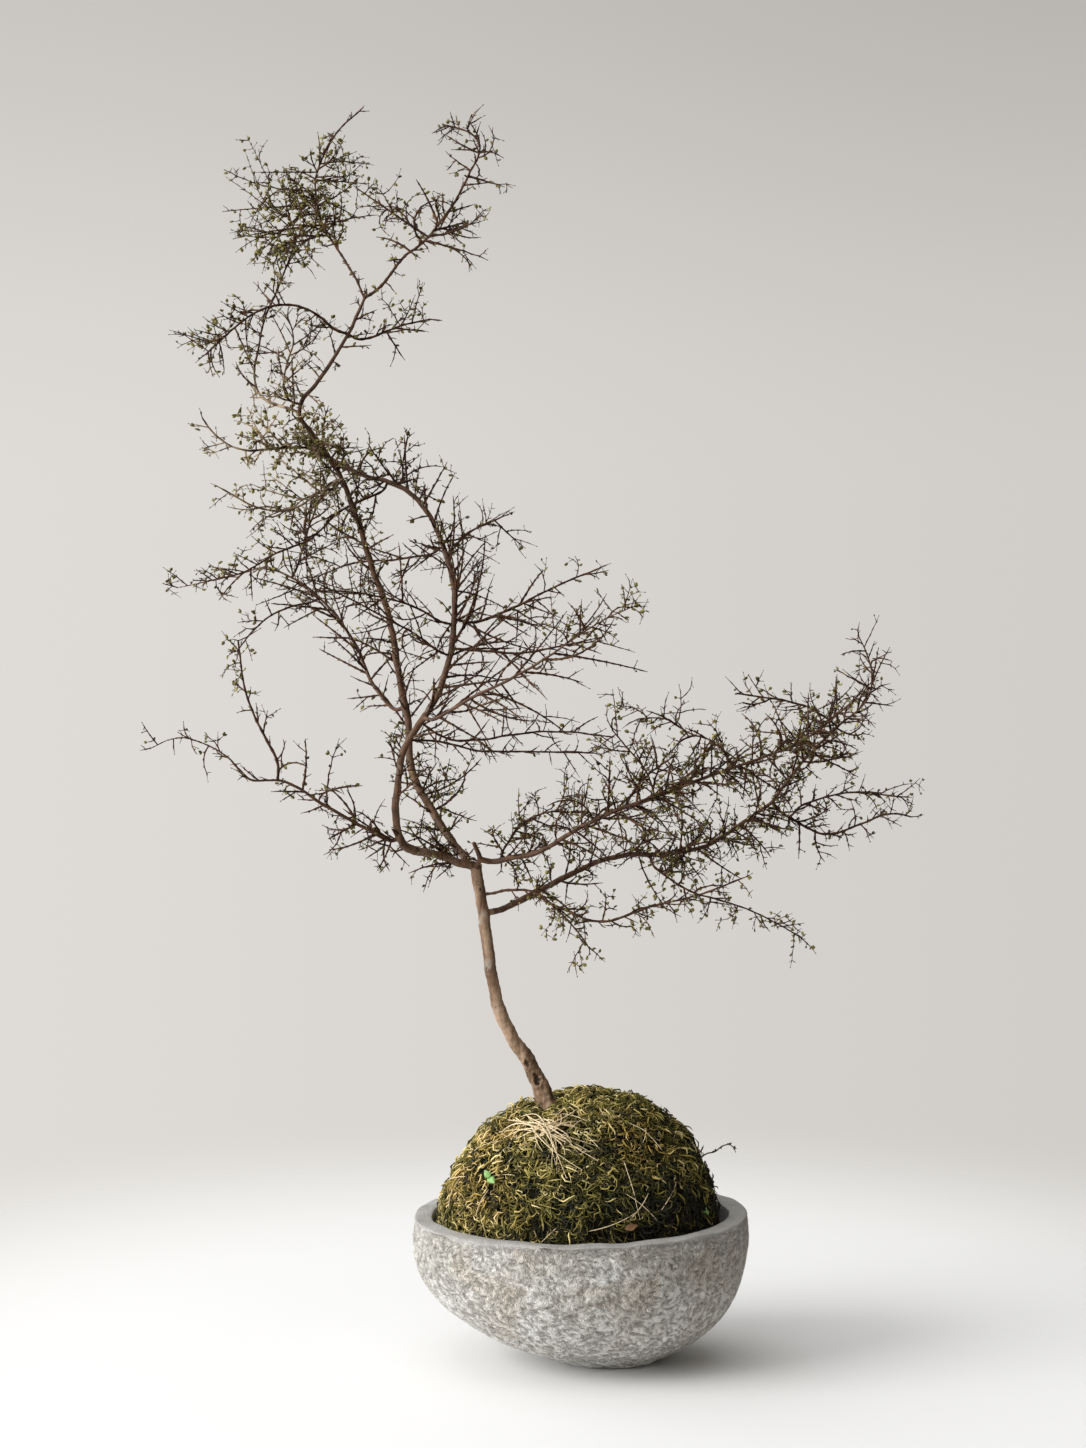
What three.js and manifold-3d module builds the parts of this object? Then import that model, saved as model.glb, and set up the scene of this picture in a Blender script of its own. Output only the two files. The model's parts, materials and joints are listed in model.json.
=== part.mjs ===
// A coprosma kokedama: a small divaricating tree whose root ball, wrapped in moss, sits in a carved river-stone bowl.
// Millimetres, +Z up. The origin is the centre of the bowl's flat foot, and the tree's front looks towards -Y.
import * as THREE from 'three';
import { mergeVertices } from 'three/addons/utils/BufferGeometryUtils.js';
import Module from 'manifold-3d';

// ---- Driving dimensions ----
const BOWL_WIDTH = 304; // widest point of the outer wall, along X
const BOWL_DEPTH_RATIO = 0.83; // the plan is an oval, shallower from front to back
const BOWL_HEIGHT = 131; // foot to rim, at the bowl's middle
const BOWL_WALL = 16;
const BOWL_FLOOR = 23; // thickness of stone under the hollow
const BELLY_HEIGHT = 105; // where the outer wall is widest
const BELLY_DROP = 108; // how far the round of the outer wall would reach below the belly
const FOOT_WIDTH = 100; // the flat that the stone stands on
const FOOT_RISE = 5; // a short sawn edge round the foot, before the round of the wall begins
const FOOT_OFFSET = 24; // the rim's centre lies this far to the left of the foot's centre
const FOOT_BLEND_HEIGHT = 80; // below this height the wall leans over towards the foot
const RIM_TILT_X = 0.012; // the rim rises a little to the right
const RIM_TILT_Y = 0.02; // and to the back

const CLEARANCE = 0.3; // gap between pieces that touch
const MOSS_SIDE_GAP = 6; // between the moss ball and the bowl's wall, were the ball in the middle of the hollow
const MOSS_SHIFT = 3; // the ball lies this far left of the hollow's middle, so the gap is wider on the right
const MOSS_FLOOR_GAP = 1.2; // leaves room for the facets of the hollow
const MOSS_SHOULDER = 16; // the ball is widest this far below the rim
const MOSS_RISE = 124; // from the ball's widest up to its top
const MOSS_LEAN = 14; // the top of the mound lies this far to the right of its middle
const MOSS_THICKNESS = 12;

const TREE_HEIGHT = 868; // from the moss to the highest twig, along Z
const TRUNK_FOOT = new THREE.Vector2(-55, 0); // where the trunk leaves the moss, in plan
const TRUNK_FOOT_RADIUS = 8.4;
const TRUNK_TOP_RADIUS = 5;
const TRUNK_FLARE = 6; // how quickly the trunk thickens towards its foot
const ROOT_DEPTH = 70; // how far the trunk's root end goes into the soil
const WOOD_GIRTH = 1; // thickness of every branch against its listed radius

const LEAF_LENGTH = 7;
const LEAF_WIDTH = 3.6;
const LEAF_THICKNESS = 1.2;
const LEAF_PAIRS = 3; // on each leafy shoot
const SHOOT_RADIUS = 0.8;
const STRAW_RADIUS = 0.8;
const STRAW_LIFT = 2.5; // from the mound to the middle of a straw
const STEM_LIFT = 1.5; // from the mound to the foot of the seedling and of the sprig

// ---- How finely the round shapes are faceted ----
const BOWL_SEGMENTS = 32;
const BOWL_RINGS = 8;
const DOME_RINGS = 7;
const TRUNK_SIDES = 8;
const LIMB_SIDES = 6;
const TWIG_SIDES = 5;
const LIMB_RADIUS = 1.8; // branches thicker than this at their base count as limbs

// ---- Branches ----
// Points are drawn from the trunk's foot, for a tree of DRAWN_HEIGHT. Each branch begins on its parent.
const DRAWN_HEIGHT = 868;
const TRUNK_ROUTE = [[0, 0, 0], [-15, 0, 33], [-29, -2, 55], [-40, -4, 78], [-46, -5, 100], [-50, -3, 131],
  [-54, 0, 161], [-58, 3, 185], [-61, 4, 205]];
const BRANCHES = [
  { name: 'left_limb', parent: 'trunk', base: 3.9, tip: 3.4,
    route: [[-63, 4, 205], [-77, -2, 210], [-96, -12, 218], [-122, -24, 226], [-127, -28, 235]] },
  { name: 'back_leader', parent: 'trunk', base: 3.9, tip: 2.3,
    route: [[-63, 4, 205], [-70, 12, 212], [-86, 26, 230], [-102, 38, 253], [-116, 46, 277], [-121, 50, 302],
      [-122, 52, 329], [-128, 52, 357], [-134, 50, 397], [-142, 46, 435], [-153, 40, 466], [-162, 32, 498],
      [-170, 22, 524], [-181, 10, 552]] },
  { name: 'right_shoulder', parent: 'trunk', base: 2.6, tip: 0.9,
    route: [[-60, 4, 205], [-40, -8, 213], [-7, -22, 221], [25, -34, 241], [57, -44, 258], [98, -50, 273],
      [143, -52, 291], [184, -50, 305], [219, -46, 319], [249, -42, 340], [269, -40, 359]] },
  { name: 'right_low_limb', parent: 'trunk', base: 3.0, tip: 0.8,
    route: [[-48, 2, 162], [-22, 18, 174], [9, 36, 188], [40, 50, 202], [71, 62, 209], [108, 72, 209],
      [144, 80, 215], [180, 86, 237], [204, 84, 255], [220, 76, 278], [241, 62, 305], [266, 48, 331],
      [286, 40, 351], [288, 36, 378], [277, 34, 406]] },
  { name: 'low_thin_branch', parent: 'trunk', base: 1.2, tip: 0.7,
    route: [[-51, 1, 180], [-33, -16, 187], [-8, -34, 187], [9, -50, 175], [24, -62, 161], [38, -70, 143]] },
  { name: 'broken_stub', parent: 'trunk', base: 2.3, tip: 2.0, route: [[-61, 2, 204], [-58, -8, 216], [-63, -14, 229]] },
  { name: 'curved_leader', parent: 'left_limb', base: 3.3, tip: 1.9,
    route: [[-127, -28, 235], [-130, -34, 254], [-128, -38, 280], [-122, -38, 312], [-110, -32, 332],
      [-95, -22, 355], [-84, -10, 388], [-80, 2, 420], [-80, 14, 447], [-86, 26, 473], [-98, 40, 505],
      [-115, 52, 528], [-135, 62, 541], [-160, 68, 548], [-185, 70, 560], [-208, 74, 572]] },
  { name: 'low_left_sweep', parent: 'left_limb', base: 1.9, tip: 0.7,
    route: [[-122, -24, 226], [-138, -32, 234], [-167, -48, 251], [-195, -60, 269], [-222, -70, 287],
      [-252, -82, 290], [-267, -92, 308], [-291, -100, 323], [-311, -106, 327], [-331, -112, 319]] },
  { name: 'left_riser', parent: 'low_left_sweep', base: 1.3, tip: 0.7,
    route: [[-222, -70, 287], [-234, -66, 314], [-249, -60, 342], [-257, -58, 364], [-262, -64, 407]] },
  { name: 'top_leader', parent: 'back_leader', base: 2.2, tip: 1.5,
    route: [[-179, 10, 552], [-198, 2, 578], [-214, -6, 605], [-198, -12, 627], [-181, -18, 651],
      [-168, -24, 672], [-155, -32, 699]] },
  { name: 'top_right_fork', parent: 'top_leader', base: 1.4, tip: 0.7,
    route: [[-155, -32, 699], [-139, -42, 710], [-121, -54, 732], [-104, -64, 743], [-89, -70, 760],
      [-76, -72, 778], [-64, -74, 801], [-55, -74, 821], [-64, -72, 835], [-83, -68, 841]] },
  { name: 'top_left_fork', parent: 'top_leader', base: 1.2, tip: 0.7,
    route: [[-155, -32, 699], [-164, -24, 718], [-179, -12, 742], [-191, 2, 761], [-199, 16, 786],
      [-200, 26, 808], [-194, 34, 827], [-181, 38, 849], [-161, 42, 868]] },
  { name: 'left_column', parent: 'top_leader', base: 1.3, tip: 0.7,
    route: [[-213, -6, 604], [-230, 10, 608], [-249, 24, 617], [-256, 36, 639], [-253, 44, 659],
      [-247, 52, 689], [-237, 58, 712], [-227, 60, 738], [-222, 58, 755], [-228, 50, 785]] },
  { name: 'left_arm', parent: 'top_leader', base: 1.2, tip: 0.7,
    route: [[-173, -21, 662], [-190, -36, 681], [-209, -50, 691], [-229, -62, 691], [-249, -74, 682],
      [-285, -92, 649]] },
  { name: 'right_arm', parent: 'top_leader', base: 1.1, tip: 0.7,
    route: [[-173, -21, 664], [-150, -6, 667], [-129, 10, 677], [-101, 24, 684]] },
  { name: 'inner_sprout', parent: 'top_leader', base: 1.0, tip: 0.7,
    route: [[-214, -6, 605], [-225, -22, 620], [-222, -34, 642], [-215, -42, 664], [-219, -52, 680]] },
  { name: 'mid_left_limb', parent: 'back_leader', base: 1.9, tip: 0.7,
    route: [[-122, 52, 332], [-139, 58, 344], [-156, 66, 365], [-168, 76, 393], [-185, 86, 418], [-204, 94, 439],
      [-228, 100, 456], [-254, 106, 465], [-283, 112, 458], [-334, 120, 447]] },
  { name: 'mid_left_riser', parent: 'mid_left_limb', base: 1.1, tip: 0.7,
    route: [[-227, 100, 456], [-219, 96, 482], [-213, 94, 502], [-205, 98, 523], [-194, 104, 542]] },
  { name: 'hook_branch', parent: 'mid_left_limb', base: 1.0, tip: 0.7,
    route: [[-201, 93, 436], [-221, 72, 433], [-243, 52, 425], [-259, 32, 410], [-270, 14, 395]] },
  { name: 'right_limb', parent: 'curved_leader', base: 1.9, tip: 0.7,
    route: [[-111, -32, 331], [-86, -44, 344], [-63, -56, 358], [-35, -68, 372], [-4, -78, 390], [24, -88, 410],
      [49, -96, 426], [72, -102, 437]] },
  { name: 'upper_right_branch', parent: 'curved_leader', base: 1.3, tip: 0.7,
    route: [[-80, 1, 417], [-57, 12, 421], [-24, 26, 434], [6, 38, 449], [47, 50, 466]] },
  { name: 'right_spreader', parent: 'curved_leader', base: 1.1, tip: 0.7,
    route: [[-81, -6, 397], [-57, -12, 396], [-26, -16, 394], [2, -20, 398], [34, -26, 405]] },
  { name: 'low_spreader', parent: 'curved_leader', base: 1.0, tip: 0.7,
    route: [[-109, -30, 334], [-85, -24, 320], [-53, -14, 319], [-15, -4, 324], [20, 4, 324], [51, 10, 320]] },
  { name: 'lower_spreader', parent: 'back_leader', base: 1.0, tip: 0.7,
    route: [[-121, 51, 314], [-94, 66, 311], [-63, 78, 302], [-14, 88, 300], [42, 96, 298]] },
  { name: 'long_left_drooper', parent: 'curved_leader', base: 1.3, tip: 0.7,
    route: [[-131, 60, 539], [-159, 46, 528], [-183, 32, 515], [-205, 18, 493], [-233, 4, 481],
      [-265, -10, 463], [-292, -20, 457]] },
  { name: 'leader_left_twig', parent: 'curved_leader', base: 1.0, tip: 0.7,
    route: [[-81, -1, 413], [-109, -16, 432], [-133, -28, 441], [-161, -38, 447], [-185, -48, 449]] },
  { name: 'lower_left_twig', parent: 'curved_leader', base: 1.0, tip: 0.7,
    route: [[-84, -10, 387], [-104, -26, 405], [-129, -40, 421], [-157, -54, 437], [-190, -64, 454]] },
  { name: 'crossing_twig', parent: 'curved_leader', base: 1.0, tip: 0.7,
    route: [[-88, 30, 480], [-113, 44, 477], [-138, 58, 473], [-169, 70, 471], [-200, 78, 460]] },
  { name: 'leader_right_twig', parent: 'curved_leader', base: 0.9, tip: 0.7,
    route: [[-90, 32, 485], [-68, 42, 498], [-40, 52, 511]] },
  { name: 'crown_twig', parent: 'curved_leader', base: 0.9, tip: 0.7,
    route: [[-126, 58, 535], [-127, 62, 554], [-123, 66, 581]] },
  { name: 'dense_crown_branch', parent: 'top_leader', base: 1.1, tip: 0.7,
    route: [[-194, 4, 573], [-216, -12, 572], [-239, -26, 570], [-262, -38, 570], [-281, -48, 581], [-292, -56, 596]] },
  { name: 'low_crown_branch', parent: 'back_leader', base: 1.0, tip: 0.7,
    route: [[-169, 18, 535], [-193, 4, 536], [-217, -8, 519], [-245, -20, 519], [-278, -34, 536]] },
  { name: 'shoulder_arch', parent: 'right_shoulder', base: 1.1, tip: 0.7,
    route: [[-42, -6, 212], [-33, 6, 226], [-18, 18, 244], [4, 30, 251], [35, 42, 249]] },
  { name: 'shoulder_riser', parent: 'right_shoulder', base: 1.0, tip: 0.7,
    route: [[94, -50, 272], [85, -58, 297], [70, -66, 315], [57, -72, 331]] },
  { name: 'high_arch', parent: 'right_shoulder', base: 1.1, tip: 0.7,
    route: [[163, -51, 298], [146, -40, 318], [123, -28, 326], [103, -16, 337], [81, -6, 336]] },
  { name: 'top_fan', parent: 'right_low_limb', base: 1.0, tip: 0.7,
    route: [[260, 46, 325], [231, 36, 344], [200, 26, 352], [169, 18, 357]] },
  { name: 'right_tail', parent: 'right_low_limb', base: 1.3, tip: 0.7,
    route: [[203, 85, 253], [226, 92, 237], [254, 96, 224], [287, 98, 234], [311, 98, 243], [332, 100, 240]] },
  { name: 'tail_upper', parent: 'right_tail', base: 1.0, tip: 0.7,
    route: [[217, 89, 244], [240, 76, 256], [273, 66, 265], [317, 56, 262]] },
  { name: 'low_spray_branch', parent: 'right_low_limb', base: 1.2, tip: 0.7,
    route: [[-14, 22, 179], [15, 8, 168], [48, -8, 158], [91, -20, 173], [134, -30, 185], [170, -38, 200]] },
  { name: 'lowest_branch', parent: 'right_low_limb', base: 1.2, tip: 0.7,
    route: [[85, 66, 210], [104, 56, 194], [129, 50, 178], [157, 46, 170], [191, 44, 158], [222, 42, 141]] },
];

// Leafy shoots: where the small leaves grow thickest. Each leaves its parent at the point nearest `from`.
const SHOOTS = [
  { name: 'leaves_top_crown', parent: 'top_left_fork', from: [-198, 12, 780], to: [-222, 4, 806] },
  { name: 'leaves_left_column', parent: 'left_column', from: [-224, 59, 748], to: [-252, 50, 766] },
  { name: 'leaves_right_crown', parent: 'top_right_fork', from: [-97, -67, 750], to: [-64, -58, 746] },
  { name: 'leaves_dense_crown', parent: 'dense_crown_branch', from: [-239, -26, 570], to: [-246, -12, 596] },
  { name: 'leaves_low_crown', parent: 'low_crown_branch', from: [-205, -2, 528], to: [-190, -22, 516] },
  { name: 'leaves_mid_left', parent: 'mid_left_limb', from: [-318, 117, 450], to: [-328, 104, 466] },
  { name: 'leaves_right_limb', parent: 'right_limb', from: [52, -97, 428], to: [58, -84, 450] },
  { name: 'leaves_shoulder', parent: 'right_shoulder', from: [98, -50, 273], to: [104, -70, 290] },
  { name: 'leaves_low_limb', parent: 'right_low_limb', from: [50, 54, 205], to: [42, 66, 228] },
  { name: 'leaves_low_spray', parent: 'low_spray_branch', from: [134, -30, 185], to: [148, -20, 168] },
  { name: 'leaves_tail', parent: 'tail_upper', from: [290, 62, 263], to: [298, 78, 248] },
];

// Straws, each from one place on the mound to another by way of the crossing. Places are shares of the mound's
// half-width and half-depth, out from its middle.
const STRAW_CROSSING = [-0.2, -0.46];
const STRAWS = [[-0.55, -0.21, 0.1, -0.77], [-0.41, -0.56, 0.08, -0.56], [-0.25, -0.23, -0.13, -0.72]];
const SEEDLING_PLACE = [-0.57, -0.66];
const SPRIG_PLACE = [0.89, 0.04];

// ---- Solid tools ----
const wasm = await Module();
wasm.setup();

// A closed three.js geometry as a solid, with its shared vertices merged.
function solid(geometry) {
  const g = geometry.clone();
  g.deleteAttribute('normal');
  g.deleteAttribute('uv');
  const merged = mergeVertices(g, 1e-3);
  const triVerts = new Uint32Array(merged.index.array);
  return new wasm.Manifold(new wasm.Mesh({ numProp: 3, vertProperties: merged.attributes.position.array, triVerts }));
}

// A solid as a three.js geometry.
function geometryOf(piece) {
  const mesh = piece.getMesh();
  const g = new THREE.BufferGeometry();
  g.setAttribute('position', new THREE.BufferAttribute(mesh.vertProperties, 3));
  g.setIndex(new THREE.BufferAttribute(mesh.triVerts, 1));
  return g.toNonIndexed();
}

// A cut can leave crumbs beside the piece itself, which is always the largest.
function largest(piece) {
  return piece.decompose().reduce((a, b) => (b.volume() > a.volume() ? b : a));
}

function cutBy(piece, others) {
  return largest(others.reduce((rest, other) => rest.subtract(other), piece));
}

// ---- Bowl, moss ball and soil ----
// Round shapes are first lathed about Z, and then warped into the stone's own lopsided oval.
function ellipseArc(radius, rise, centreZ, from, to, rings) {
  return Array.from({ length: rings + 1 }, (_, i) => {
    const a = from + ((to - from) * i) / rings;
    return new THREE.Vector2(Math.max(0, radius * Math.cos(a)), centreZ + rise * Math.sin(a));
  });
}

function lathe(profile) {
  return new THREE.LatheGeometry(profile, BOWL_SEGMENTS).rotateX(Math.PI / 2);
}

function moveVertices(geometry, move) {
  const p = geometry.attributes.position;
  const v = new THREE.Vector3();
  for (let i = 0; i < p.count; i++) {
    move(v.fromBufferAttribute(p, i));
    p.setXYZ(i, v.x, v.y, v.z);
  }
  return geometry;
}

// How far left the stone's centre line lies at a height.
function centreX(z) {
  return -FOOT_OFFSET * (1 - Math.pow(Math.max(0, 1 - z / FOOT_BLEND_HEIGHT), 1.5));
}

function oval(v) {
  v.x += centreX(v.z);
  v.y *= BOWL_DEPTH_RATIO;
}

const belly = BOWL_WIDTH / 2;
const footAngle = -Math.asin((BELLY_HEIGHT - FOOT_RISE) / BELLY_DROP);
const rimAngle = Math.asin((BOWL_HEIGHT - BELLY_HEIGHT) / BELLY_DROP);
const rimRadius = belly * Math.cos(rimAngle);
const hollowRadius = rimRadius - BOWL_WALL;

function bowl() {
  const outer = ellipseArc(belly, BELLY_DROP, BELLY_HEIGHT, footAngle, rimAngle, BOWL_RINGS);
  const inner = ellipseArc(hollowRadius, BOWL_HEIGHT - BOWL_FLOOR, BOWL_HEIGHT, 0, -Math.PI / 2, BOWL_RINGS);
  const foot = [new THREE.Vector2(0, 0), new THREE.Vector2(FOOT_WIDTH / 2, 0)];
  const geometry = lathe([...foot, ...outer, ...inner]);
  return moveVertices(geometry, (v) => {
    const tilt = RIM_TILT_X * v.x + RIM_TILT_Y * v.y;
    oval(v);
    v.z += tilt * Math.pow(v.z / BOWL_HEIGHT, 4);
  });
}

const ballMiddle = BOWL_HEIGHT - MOSS_SHOULDER;
const ballDrop = BOWL_HEIGHT - BOWL_FLOOR - MOSS_FLOOR_GAP;
const shoulderAngle = -Math.asin(MOSS_SHOULDER / ballDrop);
const shoulderRadius = (hollowRadius - MOSS_SIDE_GAP) * Math.cos(shoulderAngle);

// How far right of the stone's centre line the ball's own centre lies at a height.
function ballShift(z) {
  const up = Math.max(0, (z - ballMiddle) / MOSS_RISE);
  const down = Math.min(1, z / ballMiddle);
  return MOSS_LEAN * up * up - MOSS_SHIFT * down * down;
}

// The moss ball, or the ball inside it when inset is the moss's thickness.
// Below its shoulder it follows the round of the hollow, and above it makes a dome.
function ball(inset) {
  const radius = hollowRadius - MOSS_SIDE_GAP - inset;
  const drop = ballDrop - inset;
  const widest = -Math.asin(MOSS_SHOULDER / drop);
  const lower = ellipseArc(radius, drop, BOWL_HEIGHT, -Math.PI / 2, widest, DOME_RINGS);
  const dome = ellipseArc(shoulderRadius - inset, MOSS_RISE - inset, ballMiddle, 0, Math.PI / 2, DOME_RINGS);
  return moveVertices(lathe([...lower, ...dome.slice(1)]), (v) => {
    oval(v);
    v.x += ballShift(v.z);
  });
}

// The mound's height over a point of its plan, found by closing in on the leaning shape.
function moundHeight(x, y) {
  let z = ballMiddle + MOSS_RISE;
  for (let i = 0; i < 20; i++) {
    const dx = (x - centreX(z) - ballShift(z)) / shoulderRadius;
    const dy = y / (shoulderRadius * BOWL_DEPTH_RATIO);
    z = ballMiddle + MOSS_RISE * Math.sqrt(Math.max(0, 1 - dx * dx - dy * dy));
  }
  return z;
}

// ---- Wood ----
const treeFoot = new THREE.Vector3(TRUNK_FOOT.x, TRUNK_FOOT.y, moundHeight(TRUNK_FOOT.x, TRUNK_FOOT.y));
const drawnScale = TREE_HEIGHT / DRAWN_HEIGHT;

function drawnPoint([x, y, z]) {
  return new THREE.Vector3(x, y, z).multiplyScalar(drawnScale).add(treeFoot);
}

function curveThrough(points) {
  return new THREE.CatmullRomCurve3(points, false, 'centripetal');
}

// A tapering tube: a unit polygon extruded along the curve, whose rings are then opened to the radius they need.
function taperedTube(curve, sides, steps, radiusAt) {
  const corners = Array.from({ length: sides }, (_, i) => {
    const a = (2 * Math.PI * i) / sides;
    return new THREE.Vector2(Math.cos(a), Math.sin(a));
  });
  const geometry = new THREE.ExtrudeGeometry(new THREE.Shape(corners), { extrudePath: curve, steps });
  const centres = curve.getSpacedPoints(steps);
  return moveVertices(geometry, (v) => {
    const step = centres.reduce((best, c, i) => (c.distanceTo(v) < centres[best].distanceTo(v) ? i : best), 0);
    v.sub(centres[step]).multiplyScalar(radiusAt(step / steps)).add(centres[step]);
  });
}

function nearestOn(curve, point) {
  return curve.getSpacedPoints(200).reduce((a, b) => (b.distanceTo(point) < a.distanceTo(point) ? b : a));
}

function growBranch({ parent, base, tip, route }, wood) {
  const points = route.map(drawnPoint);
  points[0] = nearestOn(wood.get(parent).curve, points[0]);
  const curve = curveThrough(points);
  const sides = base > LIMB_RADIUS ? LIMB_SIDES : TWIG_SIDES;
  return { curve, sides, steps: 2 * (route.length - 1), radiusAt: (t) => WOOD_GIRTH * (base + (tip - base) * t) };
}

function growTrunk() {
  const route = TRUNK_ROUTE.map(drawnPoint);
  const lean = route[0].clone().sub(route[1]).normalize();
  const root = route[0].clone().addScaledVector(lean, ROOT_DEPTH);
  const curve = curveThrough([root, ...route]);
  const footShare = ROOT_DEPTH / curve.getLength();
  const spread = TRUNK_FOOT_RADIUS - TRUNK_TOP_RADIUS;
  const radiusAt = (t) => WOOD_GIRTH * (TRUNK_TOP_RADIUS + spread * Math.exp(-Math.abs(t - footShare) * TRUNK_FLARE));
  return { curve, sides: TRUNK_SIDES, steps: 3 * TRUNK_ROUTE.length, radiusAt };
}

function woodSolid({ curve, sides, steps, radiusAt }, extra = 0) {
  return solid(taperedTube(curve, sides, steps, (t) => radiusAt(t) + extra));
}

// ---- Leaves and straw ----
function leafSolid(at, along, across) {
  const face = new THREE.Vector3().crossVectors(along, across).normalize();
  const side = new THREE.Vector3().crossVectors(face, along).normalize();
  const turn = new THREE.Matrix4().makeBasis(along, side, face);
  const lozenge = new THREE.OctahedronGeometry(1);
  lozenge.scale(LEAF_LENGTH / 2, LEAF_WIDTH / 2, LEAF_THICKNESS / 2).translate(LEAF_LENGTH * 0.43, 0, 0);
  return solid(lozenge.applyMatrix4(turn.setPosition(at)));
}

// A short stem with leaves in opposite pairs, each pair turned a quarter from the last, as one solid.
function leafyShoot(start, end) {
  const curve = new THREE.LineCurve3(start, end);
  const along = end.clone().sub(start).normalize();
  const across = new THREE.Vector3(0, 1, 0).cross(along).normalize();
  let shoot = solid(taperedTube(curve, TWIG_SIDES, LEAF_PAIRS, () => SHOOT_RADIUS));
  for (let pair = 1; pair <= LEAF_PAIRS; pair++) {
    const at = curve.getPoint(pair / (LEAF_PAIRS + 0.4));
    const out = across.clone().applyAxisAngle(along, (pair * Math.PI) / 2).addScaledVector(along, 0.5).normalize();
    const mirrored = out.clone().addScaledVector(along, -2 * out.dot(along)).negate();
    for (const way of [out, mirrored]) shoot = shoot.add(leafSolid(at, way, along));
  }
  return shoot;
}

// A point above the mound.
function overMoss(shareX, shareY, lift) {
  const x = centreX(ballMiddle) - MOSS_SHIFT + shareX * shoulderRadius;
  const y = shareY * shoulderRadius * BOWL_DEPTH_RATIO;
  return new THREE.Vector3(x, y, moundHeight(x, y) + lift);
}

// Dry grass stems that fan out over the front of the mound and hold together where they cross.
function straw() {
  const stems = STRAWS.map(([x0, y0, x1, y1]) => {
    const [cx, cy] = STRAW_CROSSING;
    const ends = [[x0, y0], [(x0 + cx) / 2, (y0 + cy) / 2], [cx, cy], [(cx + x1) / 2, (cy + y1) / 2], [x1, y1]];
    const curve = curveThrough(ends.map(([x, y]) => overMoss(x, y, STRAW_LIFT)));
    return solid(taperedTube(curve, TWIG_SIDES, 8, () => STRAW_RADIUS));
  });
  return stems.reduce((a, b) => a.add(b));
}

// A weed seedling: a short stem with two round seed leaves.
function seedling() {
  const foot = overMoss(...SEEDLING_PLACE, STEM_LIFT);
  const top = foot.clone().add(new THREE.Vector3(-5, -7, 7));
  const stem = solid(taperedTube(new THREE.LineCurve3(foot, top), TWIG_SIDES, 2, () => SHOOT_RADIUS));
  const up = new THREE.Vector3(0, 0, 1);
  const left = leafSolid(top, new THREE.Vector3(-0.8, -0.5, -0.2).normalize(), up);
  const right = leafSolid(top, new THREE.Vector3(0.9, -0.3, 0.2).normalize(), up);
  return stem.add(left).add(right);
}

// A dead sprig that stands out of the mound's right side and nods at its end.
function sprig() {
  const foot = overMoss(...SPRIG_PLACE, STEM_LIFT);
  const reach = [[0, 0, 0], [9, 1, 5], [17, 2, 9], [24, 2, 11], [29, 2, 5]];
  const curve = curveThrough(reach.map(([x, y, z]) => foot.clone().add(new THREE.Vector3(x, y, z))));
  const stem = solid(taperedTube(curve, TWIG_SIDES, 10, () => SHOOT_RADIUS));
  const end = curve.getPoint(0.97);
  const down = leafSolid(end, new THREE.Vector3(-0.3, 0.2, -1).normalize(), new THREE.Vector3(1, 0, 0));
  const out = leafSolid(end, new THREE.Vector3(1, -0.2, 0.1).normalize(), new THREE.Vector3(0, 0, 1));
  return stem.add(down).add(out);
}

// ---- Materials ----
const material = (color, roughness) => new THREE.MeshStandardMaterial({ color, roughness, metalness: 0 });
const STONE = material(0xa8a49d, 0.8);
const MOSS = material(0x5c5a26, 0.95);
const SOIL = material(0x3a2c20, 0.95);
const BARK = material(0x7a5c4a, 0.7);
const TWIG_BARK = material(0x5a4036, 0.75);
const LEAF = material(0x5e6b2c, 0.6);
const STRAW = material(0xc9b27a, 0.8);
const SEEDLING = material(0x8fc06a, 0.55);
const DEAD = material(0x2e2a1e, 0.9);

// ---- Assembly ----
const part = new THREE.Group();

function add(name, piece, look) {
  const mesh = new THREE.Mesh(geometryOf(piece), look);
  mesh.name = name;
  part.add(mesh);
}

const wood = new Map([['trunk', growTrunk()]]);
for (const row of BRANCHES) wood.set(row.name, growBranch(row, wood));
const trunkRoom = woodSolid(wood.get('trunk'), CLEARANCE);

const mossBall = solid(ball(0));
const soilRoom = solid(ball(MOSS_THICKNESS));
add('stone_bowl', solid(bowl()), STONE);
add('moss_wrap', mossBall.subtract(soilRoom).subtract(trunkRoom), MOSS);
add('soil_ball', solid(ball(MOSS_THICKNESS + CLEARANCE)).subtract(trunkRoom), SOIL);
add('trunk', woodSolid(wood.get('trunk')), BARK);

// A branch is cut clear of its parent and of the branches that leave the same parent before it.
const rooms = new Map([['trunk', trunkRoom]]);
BRANCHES.forEach(({ name, parent, base }, i) => {
  const grown = wood.get(name);
  const earlier = BRANCHES.slice(0, i).filter((row) => row.parent === parent).map((row) => rooms.get(row.name));
  add(name, cutBy(woodSolid(grown), [rooms.get(parent), ...earlier]), base > LIMB_RADIUS ? BARK : TWIG_BARK);
  rooms.set(name, woodSolid(grown, CLEARANCE));
});

for (const { name, parent, from, to } of SHOOTS) {
  const start = nearestOn(wood.get(parent).curve, drawnPoint(from));
  add(name, cutBy(leafyShoot(start, drawnPoint(to)), [rooms.get(parent)]), LEAF);
}

add('dry_straw', straw(), STRAW);
add('seedling', seedling(), SEEDLING);
add('dead_sprig', sprig(), DEAD);

export default part;
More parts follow.
